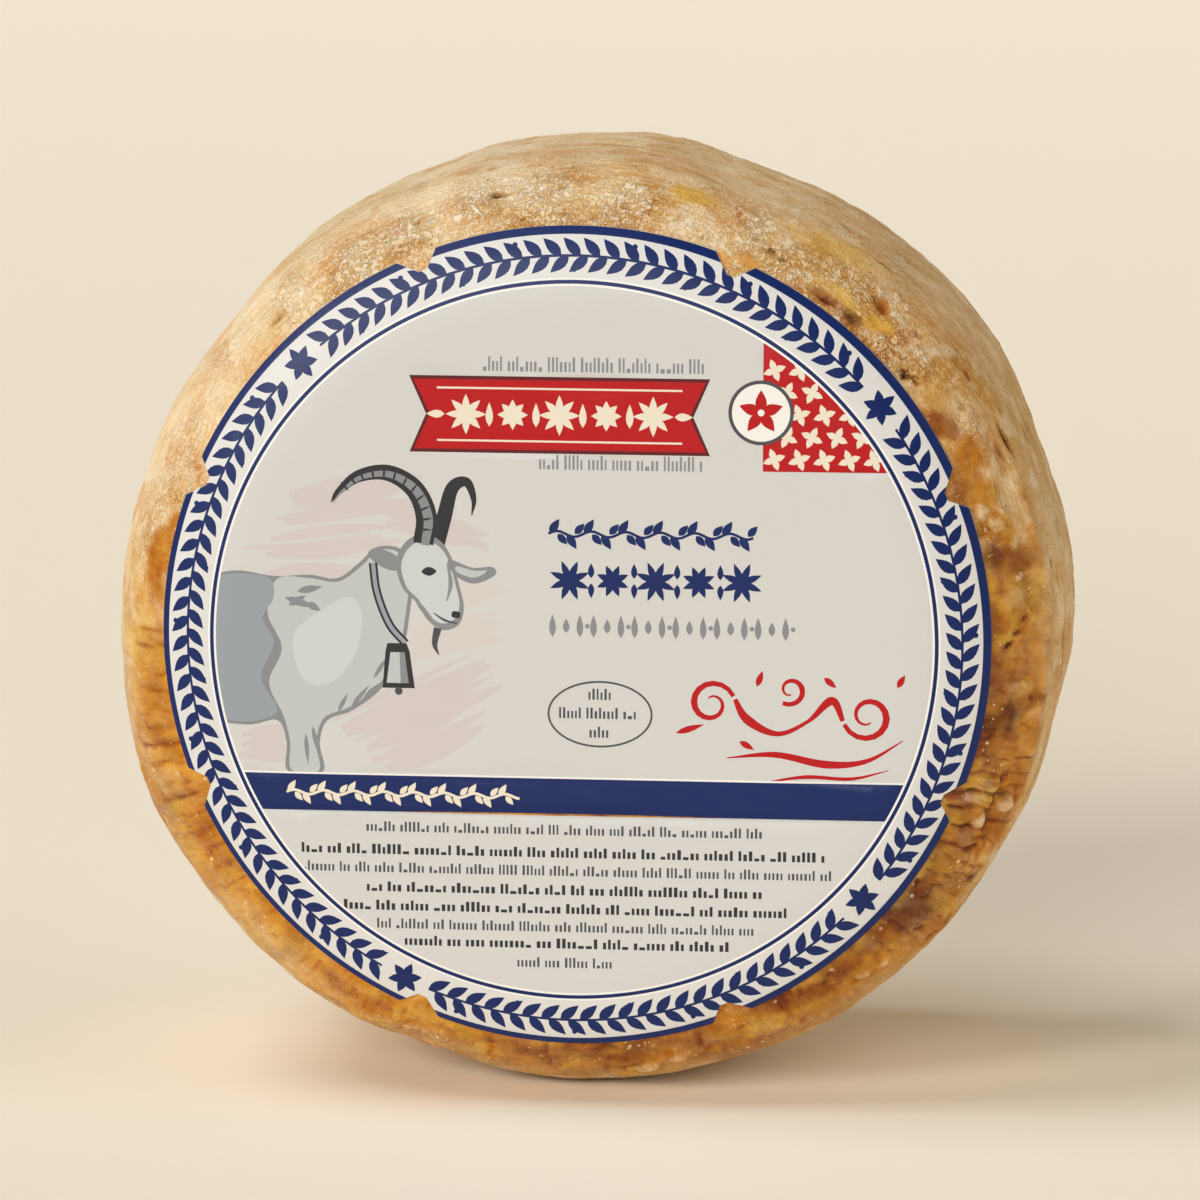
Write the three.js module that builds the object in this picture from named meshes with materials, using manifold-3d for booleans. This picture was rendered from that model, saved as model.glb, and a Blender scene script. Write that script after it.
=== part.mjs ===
// A small pressed cheese wheel that stands on its rim, with a round paper label stuck to its front face.
// Millimetres, +Z up. The wheel's axis lies along Y and the label faces -Y.
// The origin is on the surface that the wheel stands on, under the middle of its box.
import * as THREE from 'three';
import { mergeVertices } from 'three/addons/utils/BufferGeometryUtils.js';
import Module from 'manifold-3d';

const wasm = await Module();
wasm.setup();

// The wheel.
const wheelRadius = 95; // out to the middle of the rim
const wheelThickness = 92; // between the middles of the two faces
const shoulderRadius = 29; // the rounded corner between a face and the rim
const shoulderFullness = 2.35; // 2 makes the corner a circle, and more makes it squarer
const rimBulge = 2; // how far the rim's middle stands out past its two sides
const faceDome = 0.4; // how far the front face's middle stands forward of its edge
const footLength = 30; // along the flat that the wheel has worn where it stands

// The label.
const labelMargin = 13; // from the label's edge out to the rim
const labelRise = 0.9; // it was stuck on a little above the wheel's axis
const labelThickness = 0.3;
const labelGap = 0.3; // clearance between the label and the cheese
const notchCount = 8; // small nicks round the edge let the paper lie down on the shoulder
const notchMouth = 8.4; // width at the label's edge
const notchFloor = 1.8; // width at the bottom of the nick
const notchDepth = 3.2;
const notchLean = 0.4; // how far the bottom sits clockwise of the mouth's middle
const firstNotchAngle = 22.5; // degrees from +X towards +Z

// Lumps (+) and hollows (-) left round the rim by the mould and by handling.
// at and spread are degrees round the rim from +X towards +Z, rise is in mm,
// and side is where its middle lies between the front face (-1) and the back face (+1).
const rimLumps = [
  { at: 2, rise: 1.1, spread: 14, side: -0.3 },
  { at: 36, rise: 1.3, spread: 10, side: 0.2 },
  { at: 71, rise: -1.7, spread: 7, side: -0.1 },
  { at: 96, rise: -0.7, spread: 12, side: 0.5 },
  { at: 119, rise: -1.0, spread: 9, side: 0.1 },
  { at: 141, rise: -2.0, spread: 9, side: 0 },
  { at: 164, rise: -0.9, spread: 12, side: -0.2 },
  { at: 203, rise: 1.4, spread: 10, side: -0.4 },
  { at: 220, rise: 0.9, spread: 9, side: 0.3 },
  { at: 249, rise: -1.8, spread: 8, side: -0.2 },
  { at: 291, rise: -0.9, spread: 9, side: 0.2 },
  { at: 340, rise: 0.8, spread: 11, side: 0.4 },
];
const lumpReach = 32; // how far a lump spreads across the rim, towards the front and the back

// How finely the round surfaces are divided.
const turnSteps = 96;
const shoulderSteps = 9;
const faceSteps = 2;
const labelArcSteps = 5;

// What follows from them.
const halfThickness = wheelThickness / 2;
const faceRadius = wheelRadius - rimBulge - shoulderRadius;
const faceEdgeDepth = halfThickness - faceDome;
const labelRadius = wheelRadius - labelMargin;
const labelFront = labelGap + labelThickness;
const deepestHollow = Math.max(0, ...rimLumps.map((lump) => -lump.rise));
const axisHeight = Math.sqrt(wheelRadius ** 2 - (footLength / 2) ** 2);

// The shoulder is a quarter superellipse, from the face's edge out to the rim's side.
// Each point is [distance from the axis, distance from the wheel's middle plane].
function shoulderPoints(edgeDepth) {
  const points = [];
  for (let i = 1; i <= shoulderSteps; i += 1) {
    const turn = (Math.PI / 2) * (i / shoulderSteps);
    const out = faceRadius + shoulderRadius * Math.sin(turn) ** (2 / shoulderFullness);
    const depth = edgeDepth - shoulderRadius * (1 - Math.cos(turn) ** (2 / shoulderFullness));
    points.push([out + bulgeAt(depth), depth]);
  }
  return points;
}

// The rim's bulge is a parabola across the thickness, full at the middle and nothing at the faces.
function bulgeAt(depth) {
  return rimBulge * Math.max(0, 1 - (depth / halfThickness) ** 2);
}

// The front surface from the axis outwards: a low dome, then the shoulder.
function frontProfile() {
  const points = [];
  for (let i = 0; i <= faceSteps; i += 1) {
    const out = faceRadius * (i / faceSteps);
    points.push([out, halfThickness - faceDome * (i / faceSteps) ** 2]);
  }
  return points.concat(shoulderPoints(faceEdgeDepth));
}

// Moves every point in or out from the axis by the lumps round the rim. A lump fades in across
// the shoulder, so the faces stay true.
function addRimLumps(geometry) {
  const place = geometry.attributes.position;
  for (let i = 0; i < place.count; i += 1) {
    const [x, y, z] = [place.getX(i), place.getY(i), place.getZ(i)];
    const out = Math.hypot(x, z);
    if (out <= faceRadius) continue;
    const angle = THREE.MathUtils.radToDeg(Math.atan2(z, x));
    const fade = THREE.MathUtils.smoothstep(out, faceRadius, wheelRadius);
    let rise = 0;
    for (const lump of rimLumps) {
      const round = (THREE.MathUtils.euclideanModulo(angle - lump.at + 180, 360) - 180) / lump.spread;
      const across = (y - lump.side * halfThickness) / lumpReach;
      rise += lump.rise * Math.exp(-(round ** 2) - across ** 2);
    }
    const scale = 1 + (fade * rise) / out;
    place.setXYZ(i, x * scale, y, z * scale);
  }
  return geometry;
}

// Turns a geometry into a solid that can be cut: shared vertices, and no collapsed triangles.
function toSolid(geometry) {
  const bare = geometry.clone();
  bare.deleteAttribute('normal');
  bare.deleteAttribute('uv');
  const merged = mergeVertices(bare, 1e-4);
  const index = merged.index.array;
  const triangles = [];
  for (let i = 0; i < index.length; i += 3) {
    const [a, b, c] = [index[i], index[i + 1], index[i + 2]];
    if (a !== b && b !== c && c !== a) triangles.push(a, b, c);
  }
  const vertProperties = new Float32Array(merged.attributes.position.array);
  const triVerts = new Uint32Array(triangles);
  return new wasm.Manifold(new wasm.Mesh({ numProp: 3, vertProperties, triVerts }));
}

function toMesh(solid, name, material) {
  const { vertProperties, triVerts } = solid.getMesh();
  const geometry = new THREE.BufferGeometry();
  geometry.setAttribute('position', new THREE.BufferAttribute(new Float32Array(vertProperties), 3));
  geometry.setIndex(new THREE.BufferAttribute(new Uint32Array(triVerts), 1));
  geometry.computeVertexNormals();
  const mesh = new THREE.Mesh(geometry, material);
  mesh.name = name;
  return mesh;
}

// The cheese: one turned solid with its axis on Y, lumpy round the rim, with the flat it stands on.
function makeCheese() {
  const front = frontProfile();
  const back = shoulderPoints(halfThickness).reverse();
  const outline = front.map(([out, depth]) => new THREE.Vector2(out, -depth));
  outline.push(new THREE.Vector2(wheelRadius, 0));
  outline.push(...back.map(([out, depth]) => new THREE.Vector2(out, depth)));
  outline.push(new THREE.Vector2(faceRadius, halfThickness), new THREE.Vector2(0, halfThickness));
  const turned = addRimLumps(new THREE.LatheGeometry(outline, turnSteps));
  const belowFoot = new THREE.BoxGeometry(4 * wheelRadius, 2 * wheelThickness, wheelRadius);
  belowFoot.translate(0, 0, -axisHeight - wheelRadius / 2);
  return toSolid(turned).subtract(toSolid(belowFoot));
}

// The label's outline: a circle with its nicks, in the plane of the face (X across, Z up).
function labelOutline() {
  const shape = new THREE.Shape();
  const pitch = (2 * Math.PI) / notchCount;
  const halfMouth = notchMouth / 2 / labelRadius;
  const floorRadius = labelRadius - notchDepth;
  const first = THREE.MathUtils.degToRad(firstNotchAngle);
  const onCircle = (radius, angle) => [radius * Math.cos(angle), radius * Math.sin(angle)];
  shape.moveTo(...onCircle(labelRadius, first - pitch + halfMouth));
  for (let i = 0; i < notchCount; i += 1) {
    const middle = first + i * pitch;
    shape.absarc(0, 0, labelRadius, middle - pitch + halfMouth, middle - halfMouth, false);
    shape.lineTo(...onCircle(floorRadius, middle - (notchLean + notchFloor / 2) / floorRadius));
    shape.lineTo(...onCircle(floorRadius, middle - (notchLean - notchFloor / 2) / floorRadius));
    shape.lineTo(...onCircle(labelRadius, middle + halfMouth));
  }
  return shape;
}

// The label: a thin shell over the front of the cheese, trimmed to its outline. The shell is made
// of the cheese's own rings, out to the first that clears the outline where a hollow draws it in.
function makeLabel() {
  const reach = labelRadius + labelRise + deepestHollow;
  const front = frontProfile();
  const covered = front.slice(0, front.findIndex(([out]) => out > reach) + 1);
  const outer = covered.map(([out, depth]) => new THREE.Vector2(out, -depth - labelFront));
  const inner = covered.map(([out, depth]) => new THREE.Vector2(out, -depth - labelGap)).reverse();
  const sheet = addRimLumps(new THREE.LatheGeometry([...outer, ...inner], turnSteps));
  const cutter = new THREE.ExtrudeGeometry(labelOutline(), {
    depth: wheelThickness,
    bevelEnabled: false,
    curveSegments: labelArcSteps,
  });
  cutter.rotateX(Math.PI / 2); // the outline's Y becomes Z, and the cutter reaches forward along -Y
  cutter.translate(0, 0, labelRise);
  return toSolid(sheet).intersect(toSolid(cutter));
}

const rindMaterial = new THREE.MeshStandardMaterial({ color: '#cfa467', roughness: 0.55, metalness: 0 });
const paperMaterial = new THREE.MeshStandardMaterial({ color: '#e4e0d7', roughness: 0.45, metalness: 0 });

const wheel = new THREE.Group();
wheel.add(toMesh(makeCheese(), 'cheese_wheel', rindMaterial));
wheel.add(toMesh(makeLabel(), 'paper_label', paperMaterial));

// The whole thing stands at Z = 0 with its box centred over the origin.
const middle = new THREE.Box3().setFromObject(wheel).getCenter(new THREE.Vector3());
wheel.position.set(-middle.x, -middle.y, axisHeight);

const part = new THREE.Group();
part.add(wheel);

export default part;
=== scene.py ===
import math

import bpy
import numpy as np
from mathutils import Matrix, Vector
from mathutils.geometry import delaunay_2d_cdt


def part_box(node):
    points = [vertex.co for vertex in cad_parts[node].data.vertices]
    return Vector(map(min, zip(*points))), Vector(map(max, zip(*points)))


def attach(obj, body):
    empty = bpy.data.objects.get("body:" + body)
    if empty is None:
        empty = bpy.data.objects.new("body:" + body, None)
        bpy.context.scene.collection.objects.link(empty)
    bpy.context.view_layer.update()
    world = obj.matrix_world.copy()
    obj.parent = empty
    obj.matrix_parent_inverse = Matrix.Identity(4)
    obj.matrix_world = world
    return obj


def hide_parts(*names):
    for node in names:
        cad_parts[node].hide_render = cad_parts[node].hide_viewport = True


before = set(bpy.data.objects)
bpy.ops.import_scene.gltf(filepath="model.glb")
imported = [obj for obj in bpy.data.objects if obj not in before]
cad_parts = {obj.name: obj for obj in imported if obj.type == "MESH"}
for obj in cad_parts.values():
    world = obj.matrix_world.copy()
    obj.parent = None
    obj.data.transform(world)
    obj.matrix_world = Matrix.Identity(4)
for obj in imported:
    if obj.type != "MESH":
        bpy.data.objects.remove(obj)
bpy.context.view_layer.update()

mm = 0.001
scene = bpy.context.scene
print("frame loaded:", sorted(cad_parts))

# Measures of the wheel in millimetres, the same as the frame's own.
wheel = {
    "radius": 95,
    "thickness": 92,
    "shoulder": 29,  # the rounded corner between a face and the rim
    "fullness": 2.35,  # power of the corner's superellipse
    "bulge": 2,
    "dome": 0.4,
    "labelRadius": 82,
    "labelRise": 0.9,
    "lumpReach": 32,
}

# Lumps and hollows round the rim: degrees from +X towards +Z, rise, spread in degrees, side.
rimLumps = [
    (2, 1.1, 14, -0.3), (36, 1.3, 10, 0.2), (71, -1.7, 7, -0.1), (96, -0.7, 12, 0.5),
    (119, -1.0, 9, 0.1), (141, -2.0, 9, 0.0), (164, -0.9, 12, -0.2), (203, 1.4, 10, -0.4),
    (220, 0.9, 9, 0.3), (249, -1.8, 8, -0.2), (291, -0.9, 9, 0.2), (340, 0.8, 11, 0.4),
]

# The nicks round the label's edge, in mm, and where they are, in degrees.
nick = {"mouth": 8.4, "floor": 1.8, "depth": 3.2, "lean": 0.4}
nickTurns = 22.5 + 45 * np.arange(8)

cheeseLow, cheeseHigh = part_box("cheese_wheel")
labelLow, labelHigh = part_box("paper_label")
axisX = (labelLow.x + labelHigh.x) / 2 / mm
axisZ = (labelLow.z + labelHigh.z) / 2 / mm - wheel["labelRise"]
middleY = (cheeseLow.y + cheeseHigh.y) / 2 / mm


def hexColour(text):
    # sRGB hex to linear light, by the sRGB curve on each channel.
    value = np.array([int(text[i : i + 2], 16) for i in (0, 2, 4)]) / 255
    return np.where(value <= 0.04045, value / 12.92, ((value + 0.055) / 1.055) ** 2.4)


def rgba(text):
    # The same colour with full alpha, as a socket takes it.
    return (*hexColour(text), 1.0)


def smoothStep(value, low, high):
    # 0 below low, 1 above high, and 3t^2 - 2t^3 between them.
    t = np.clip((value - low) / (high - low), 0, 1)
    return t * t * (3 - 2 * t)


def turnFrom(turn, at):
    # Degrees past `at`, from -180 to 180.
    return (turn - at + 180) % 360 - 180


def sector(turn, start, end, soft):
    # 1 between two directions round the wheel, and fading to 0 over `soft` degrees at each end.
    half = (end - start) / 2
    return smoothStep(half + soft / 2 - np.abs(turnFrom(turn, (start + end) / 2)), 0, soft)


def band(value, low, high, soft):
    # 1 between low and high, and fading to 0 over `soft` on each side.
    return smoothStep(value, low - soft, low) * (1 - smoothStep(value, high, high + soft))


def hashed(cell, seed):
    # Three numbers from 0 to 1 for each cell of a lattice, by mixing its integer coordinates.
    a, b, c = (cell[..., i].astype(np.int64).astype(np.uint64) for i in range(3))
    mixed = a * np.uint64(73856093) ^ b * np.uint64(19349663) ^ c * np.uint64(83492791)
    mixed ^= np.uint64(seed * 2654435761 + 12345)
    parts = []
    for _ in range(3):
        mixed ^= mixed >> np.uint64(15)
        mixed *= np.uint64(2246822519)
        mixed ^= mixed >> np.uint64(13)
        parts.append((mixed & np.uint64(0xFFFF)).astype(float) / 65535)
    return np.stack(parts, -1)


def gradientNoise(points, size, seed):
    # Gradient noise, about -1 to 1: a random slope at each lattice corner, blended by a quintic.
    place = points / size + seed * 7.31
    cell = np.floor(place)
    inside = place - cell
    fade = inside**3 * (inside * (inside * 6 - 15) + 10)
    total = np.zeros(len(points))
    for corner in np.ndindex(2, 2, 2):
        corner = np.array(corner)
        slope = hashed(cell + corner, seed) * 2 - 1
        weight = np.prod(np.where(corner, fade, 1 - fade), -1)
        total += weight * ((inside - corner) * slope).sum(-1)
    return total * 1.9


def cellNoise(points, size, seed):
    # For each point: distance to the nearest and to the second nearest scattered seed, in cells,
    # and two random numbers that belong to the nearest one.
    place = points / size + seed * 3.17
    cell = np.floor(place)
    near = np.full(len(points), 9.0)
    second = np.full(len(points), 9.0)
    own = np.zeros((len(points), 2))
    for corner in np.ndindex(3, 3, 3):
        corner = np.array(corner) - 1
        spot = hashed(cell + corner, seed)
        gap = np.linalg.norm(cell + corner + spot - place, axis=-1)
        closer = gap < near
        second = np.where(closer, near, np.minimum(second, gap))
        own = np.where(closer[:, None], spot[:, :2], own)
        near = np.where(closer, gap, near)
    return near, second, own


def makeObject(name, points, triangles, materials, slotOf=None):
    # A mesh in metres from points in millimetres round the frame's origin, all triangles.
    mesh = bpy.data.meshes.new(name)
    mesh.vertices.add(len(points))
    mesh.vertices.foreach_set("co", (points * mm).astype(np.float32).ravel())
    mesh.loops.add(triangles.size)
    mesh.loops.foreach_set("vertex_index", triangles.astype(np.int32).ravel())
    mesh.polygons.add(len(triangles))
    mesh.polygons.foreach_set("loop_start", np.arange(0, triangles.size, 3, dtype=np.int32))
    for material in materials:
        mesh.materials.append(material)
    if slotOf is not None:
        mesh.polygons.foreach_set("material_index", slotOf.astype(np.int32))
    mesh.update(calc_edges=True)
    mesh.validate()
    mesh.shade_smooth()
    made = bpy.data.objects.new(name, mesh)
    scene.collection.objects.link(made)
    return made


def addAttribute(made, name, kind, values):
    # One value for each point of the mesh, for a material to read.
    layer = made.data.attributes.new(name, kind, "POINT")
    field = {"FLOAT": "value", "FLOAT_VECTOR": "vector", "FLOAT_COLOR": "color"}[kind]
    layer.data.foreach_set(field, np.asarray(values, np.float32).ravel())


def newMaterial(name):
    # A material with an empty node tree.
    material = bpy.data.materials.new(name)
    material.use_nodes = True
    material.node_tree.nodes.clear()
    return material


def addNode(material, kind, inputs=None, **settings):
    # One node: settings are its properties, and inputs maps a socket to a value or another socket.
    node = material.node_tree.nodes.new(kind)
    for key, value in settings.items():
        setattr(node, key, value)
    for key, value in (inputs or {}).items():
        if isinstance(value, bpy.types.NodeSocket):
            material.node_tree.links.new(value, node.inputs[key])
        else:
            node.inputs[key].default_value = value
    return node


def bulgeAt(depth):
    # How far the rim stands out at a distance from the middle plane: a parabola.
    return wheel["bulge"] * np.maximum(0, 1 - (depth / (wheel["thickness"] / 2)) ** 2)


def cornerCurve(edgeDepth):
    # A quarter superellipse from the face's edge out to the rim, as distance out and depth.
    t = np.linspace(0, math.pi / 2, 120)
    power = 2 / wheel["fullness"]
    out = faceRadius + wheel["shoulder"] * np.sin(t) ** power
    depth = edgeDepth - wheel["shoulder"] * (1 - np.cos(t).clip(0) ** power)
    return out + bulgeAt(depth), depth


halfThickness = wheel["thickness"] / 2
faceRadius = wheel["radius"] - wheel["bulge"] - wheel["shoulder"]


def wheelProfile():
    # From the middle of the front face over the rim to the middle of the back face: a low dome,
    # a superellipse, the bulging rim, a superellipse again and a flat face.
    faceOut = np.linspace(0, faceRadius, 60)
    faceDepth = halfThickness - wheel["dome"] * (faceOut / faceRadius) ** 2
    frontOut, frontDepth = cornerCurve(halfThickness - wheel["dome"])
    backOut, backDepth = cornerCurve(halfThickness)
    rimDepth = np.linspace(frontDepth[-1], -backDepth[-1], 60)[1:-1]
    rimOut = wheel["radius"] - wheel["bulge"] + bulgeAt(rimDepth)
    out = np.concatenate([faceOut[:-1], frontOut, rimOut, backOut[::-1], faceOut[::-1][1:]])
    depth = np.concatenate(
        [faceDepth[:-1], frontDepth, rimDepth, -backDepth[::-1], np.full(59, -halfThickness)]
    )
    return out, depth


profileOut, profileDepth = wheelProfile()
profileRun = np.concatenate(
    [[0], np.cumsum(np.hypot(np.diff(profileOut), np.diff(profileDepth)))]
)
labelRun = np.interp(wheel["labelRadius"], profileOut[:150], profileRun[:150])
profileAcross = profileRun - labelRun  # 0 at the label's edge, and growing over the rim
slopeOut = np.gradient(profileOut, profileAcross)
slopeDepth = np.gradient(profileDepth, profileAcross)


def rimRise(turn, depth):
    # The rim's lumps: each is a Gaussian round the rim times a Gaussian across it.
    rise = np.zeros(np.broadcast(turn, depth).shape)
    for at, height, spread, side in rimLumps:
        aroundRim = turnFrom(turn, at) / spread
        over = (-depth - side * halfThickness) / wheel["lumpReach"]
        rise += height * np.exp(-(aroundRim**2) - over**2)
    return rise


def wheelPoints(turn, across, lift):
    # The point at a turn (degrees) and a distance across the profile (mm), lifted along the normal.
    out = np.interp(across, profileAcross, profileOut)
    depth = np.interp(across, profileAcross, profileDepth)
    normalOut = -np.interp(across, profileAcross, slopeDepth)
    normalDepth = np.interp(across, profileAcross, slopeOut)
    fade = smoothStep(out, faceRadius, wheel["radius"])
    out = out + fade * rimRise(turn, depth) + normalOut * lift
    depth = depth + normalDepth * lift
    angle = np.radians(turn)
    return np.stack([axisX + out * np.cos(angle), middleY - depth, axisZ + out * np.sin(angle)], -1)


def frontLift(x, z, lift):
    # Y of the front surface at a point of the face plane (mm from the axis), lifted by `lift`.
    turn = np.degrees(np.arctan2(z, x))
    reach = np.hypot(x, z)
    half = len(profileOut) // 2
    out = reach.copy()
    for _ in range(4):
        depth = np.interp(out, profileOut[:half], profileDepth[:half])
        across = np.interp(out, profileOut[:half], profileAcross[:half])
        tilt = -np.interp(across, profileAcross, slopeDepth)
        out = reach - smoothStep(out, faceRadius, wheel["radius"]) * rimRise(turn, depth) - tilt * lift
    rest = np.interp(np.interp(out, profileOut[:half], profileAcross[:half]), profileAcross, slopeOut)
    return middleY - np.interp(out, profileOut[:half], profileDepth[:half]) - rest * lift


view = {
    "azimuth": 5.4,  # degrees from straight in front, towards +X
    "elevation": 10.7,
    "distance": 1.5,
    "lens": 222,
    "sensor": 36,
    "right": 0.89,  # mm that the aim is moved to frame the wheel
    "up": 0.69,
}


def makeCamera():
    # It looks at the wheel's middle along a line given by two angles and a distance.
    azimuth, elevation = math.radians(view["azimuth"]), math.radians(view["elevation"])
    back = Vector((
        math.sin(azimuth) * math.cos(elevation),
        -math.cos(azimuth) * math.cos(elevation),
        math.sin(elevation),
    ))
    right = Vector((math.cos(azimuth), math.sin(azimuth), 0))
    up = back.cross(right)
    centre = Vector((axisX, middleY, axisZ)) + right * view["right"] + up * view["up"]
    data = bpy.data.cameras.new("camera")
    data.lens = view["lens"]
    data.sensor_width = view["sensor"]
    data.clip_start, data.clip_end = 0.05, 50
    camera = bpy.data.objects.new("camera", data)
    scene.collection.objects.link(camera)
    camera.location = centre * mm + back * view["distance"]
    camera.rotation_euler = back.to_track_quat("Z", "Y").to_euler()
    scene.camera = camera


studio = {
    "floorColour": "FBF3E1",
    "floorShade": "F9F0DD",
    "floorRoughness": 0.85,
    "worldColour": "FFDFB6",
    "worldStrength": 0.07,
    # Soft lamps: turn to the right of the front, height above the horizon, strength, softness
    # and colour. The key and the low lamp stand at the front left, one hangs high on the left,
    # and weak ones fill from the right and from behind.
    "lamps": [
        ("key", -38, 24, 1.42, 20, "FFFCF5"),
        ("low", -8, 20, 1.02, 22, "FAFBFF"),
        ("high", -80, 62, 1.20, 30, "FBFBFF"),
        ("side", 78, 24, 0.70, 35, "FFFAF0"),
        ("rear", 165, 16, 0.80, 30, "FFFAF0"),
    ],
}


def makeFloor():
    # A sweep: flat floor in front, a quarter circle behind, then a wall.
    material = newMaterial("matt studio paper")  # plain seamless paper, so it only has a faint tone
    coordinates = addNode(material, "ShaderNodeTexCoord")
    cloudy = addNode(material, "ShaderNodeTexNoise", {"Vector": coordinates.outputs["Object"], "Scale": 1.5})
    tone = addNode(material, "ShaderNodeMix", {"Factor": cloudy.outputs["Fac"]}, data_type="RGBA")
    tone.inputs["A"].default_value = rgba(studio["floorColour"])
    tone.inputs["B"].default_value = rgba(studio["floorShade"])
    shader = addNode(material, "ShaderNodeBsdfPrincipled", {
        "Base Color": tone.outputs["Result"],
        "Roughness": studio["floorRoughness"],
        "Specular IOR Level": 0.2,
    })
    addNode(material, "ShaderNodeOutputMaterial", {"Surface": shader.outputs["BSDF"]})
    turn = np.linspace(0, math.pi / 2, 24)
    run = np.concatenate([[-2600, -900, 0, 1200], 4200 + 900 * np.sin(turn), [5100]])
    rise = np.concatenate([[0, 0, 0, 0], 900 * (1 - np.cos(turn)), [3500]])
    side = np.array([-5500.0, 5500.0])
    points = np.array([[x, y, z] for y, z in zip(run, rise) for x in side])
    step = np.arange(len(run) - 1) * 2
    lower = np.stack([step, step + 1, step + 3], -1)
    upper = np.stack([step, step + 3, step + 2], -1)
    floor = makeObject("floor", points, np.concatenate([lower, upper]), [material])


def addLamp(name, turn, height, strength, softness, colour):
    # A distant lamp as wide as `softness` degrees, so it lights the floor evenly.
    data = bpy.data.lights.new(name, "SUN")
    data.energy = strength
    data.angle = math.radians(softness)
    data.color = hexColour(colour)
    lamp = bpy.data.objects.new(name, data)
    scene.collection.objects.link(lamp)
    turn, height = math.radians(turn), math.radians(height)
    away = Vector((
        math.sin(turn) * math.cos(height), -math.cos(turn) * math.cos(height), math.sin(height),
    ))
    lamp.location = away * 2
    lamp.rotation_euler = away.to_track_quat("Z", "Y").to_euler()


def makeLights():
    # A dim warm world and the lamps.
    world = bpy.data.worlds.new("studio air")
    scene.world = world
    world.use_nodes = True
    background = world.node_tree.nodes["Background"]
    background.inputs["Color"].default_value = rgba(studio["worldColour"])
    background.inputs["Strength"].default_value = studio["worldStrength"]
    for lamp in studio["lamps"]:
        addLamp(*lamp)


scene.view_settings.view_transform = "Standard"
makeCamera()
makeFloor()
makeLights()
print("camera, floor and lights made")


tones = {
    "flour": "F3DEBA",
    "cream": "EBD0A3",
    "peach": "E4B988",
    "straw": "E3C08D",
    "sand": "DDB577",
    "tan": "D2A05A",
    "yellow": "DCB048",
    "honey": "D08F1C",
    "gold": "BC7606",
    "amber": "924C02",
    "burnt": "5E2600",
    "umber": "331608",
}

# Tones round the wheel, given one by one: turn, then beside the label, on the shoulder, past the
# shoulder and on the rim.
toneStations = [
    (0, "amber honey sand straw"), (11, "amber honey sand cream"),
    (20, "amber tan sand sand"), (30, "tan tan tan sand"),
    (38, "sand tan tan straw"), (50, "gold sand straw straw"),
    (60, "sand straw straw straw"), (70, "cream straw straw cream"),
    (80, "straw sand sand straw"), (90, "straw cream straw cream"),
    (100, "straw cream flour flour"), (110, "cream flour cream flour"),
    (120, "cream cream cream cream"), (131, "straw cream flour flour"),
    (142, "cream flour flour flour"), (152, "cream flour cream flour"),
    (162, "honey cream flour flour"), (171, "gold tan cream flour"),
    (180, "honey sand cream flour"), (190, "honey honey straw cream"),
    (200, "honey sand honey sand"), (212, "gold honey tan straw"),
    (225, "honey sand sand sand"), (240, "gold honey tan tan"),
    (250, "honey sand tan sand"), (261, "gold honey sand sand"),
    (271, "amber honey sand sand"), (281, "amber honey sand sand"),
    (291, "gold gold tan tan"), (301, "amber gold tan sand"),
    (311, "amber honey sand straw"), (320, "burnt amber gold tan"),
    (330, "amber honey sand sand"), (340, "amber honey honey sand"),
    (351, "amber honey tan straw"),
]

rind = {
    "columns": 880,
    "denseAt": 338,  # more columns where the surface is pleated
    "denseSpread": 34,
    "denseGain": 0.8,
    "midRadius": 86,  # where a turn is measured as a length along the shoulder
    "frontRings": (-70, -55, -40, -26, -15, -9, -6),
    "fineStart": -4.8,
    "fineStep": 0.6,  # from the label's edge to the end of the shoulder
    "fineEnd": 17,
    "rimStep": 0.9,
    "rimEnd": 46,
    "backStep": 1.5,
    "backFaceAt": 111,
    "backFaceStep": 2.6,
    "swells": ((24, 0.16), (9, 0.20), (3.6, 0.13), (1.6, 0.08)),  # size and height in mm
    "waxSwells": ((8, 0.42), (3.4, 0.26)),
    "crumbSize": 1.5,
    "crumbHeight": 0.34,
    "clodSize": 4.2,
    "clodHeights": (0.10, 0.28),  # where it is waxy and where it is crumbly
    "strandDepth": 0.26,
    "ridgeAt": 14.6,
    "ridgeHeight": 0.9,
    "levelGrain": (112, 148),  # across: from here to there the grain turns level
    "plainMiddle": (3, 18),  # mm from the back's middle: fine marks start and are full
    "underLabel": 0.05,  # the most that the rind may rise beneath the label
}

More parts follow.
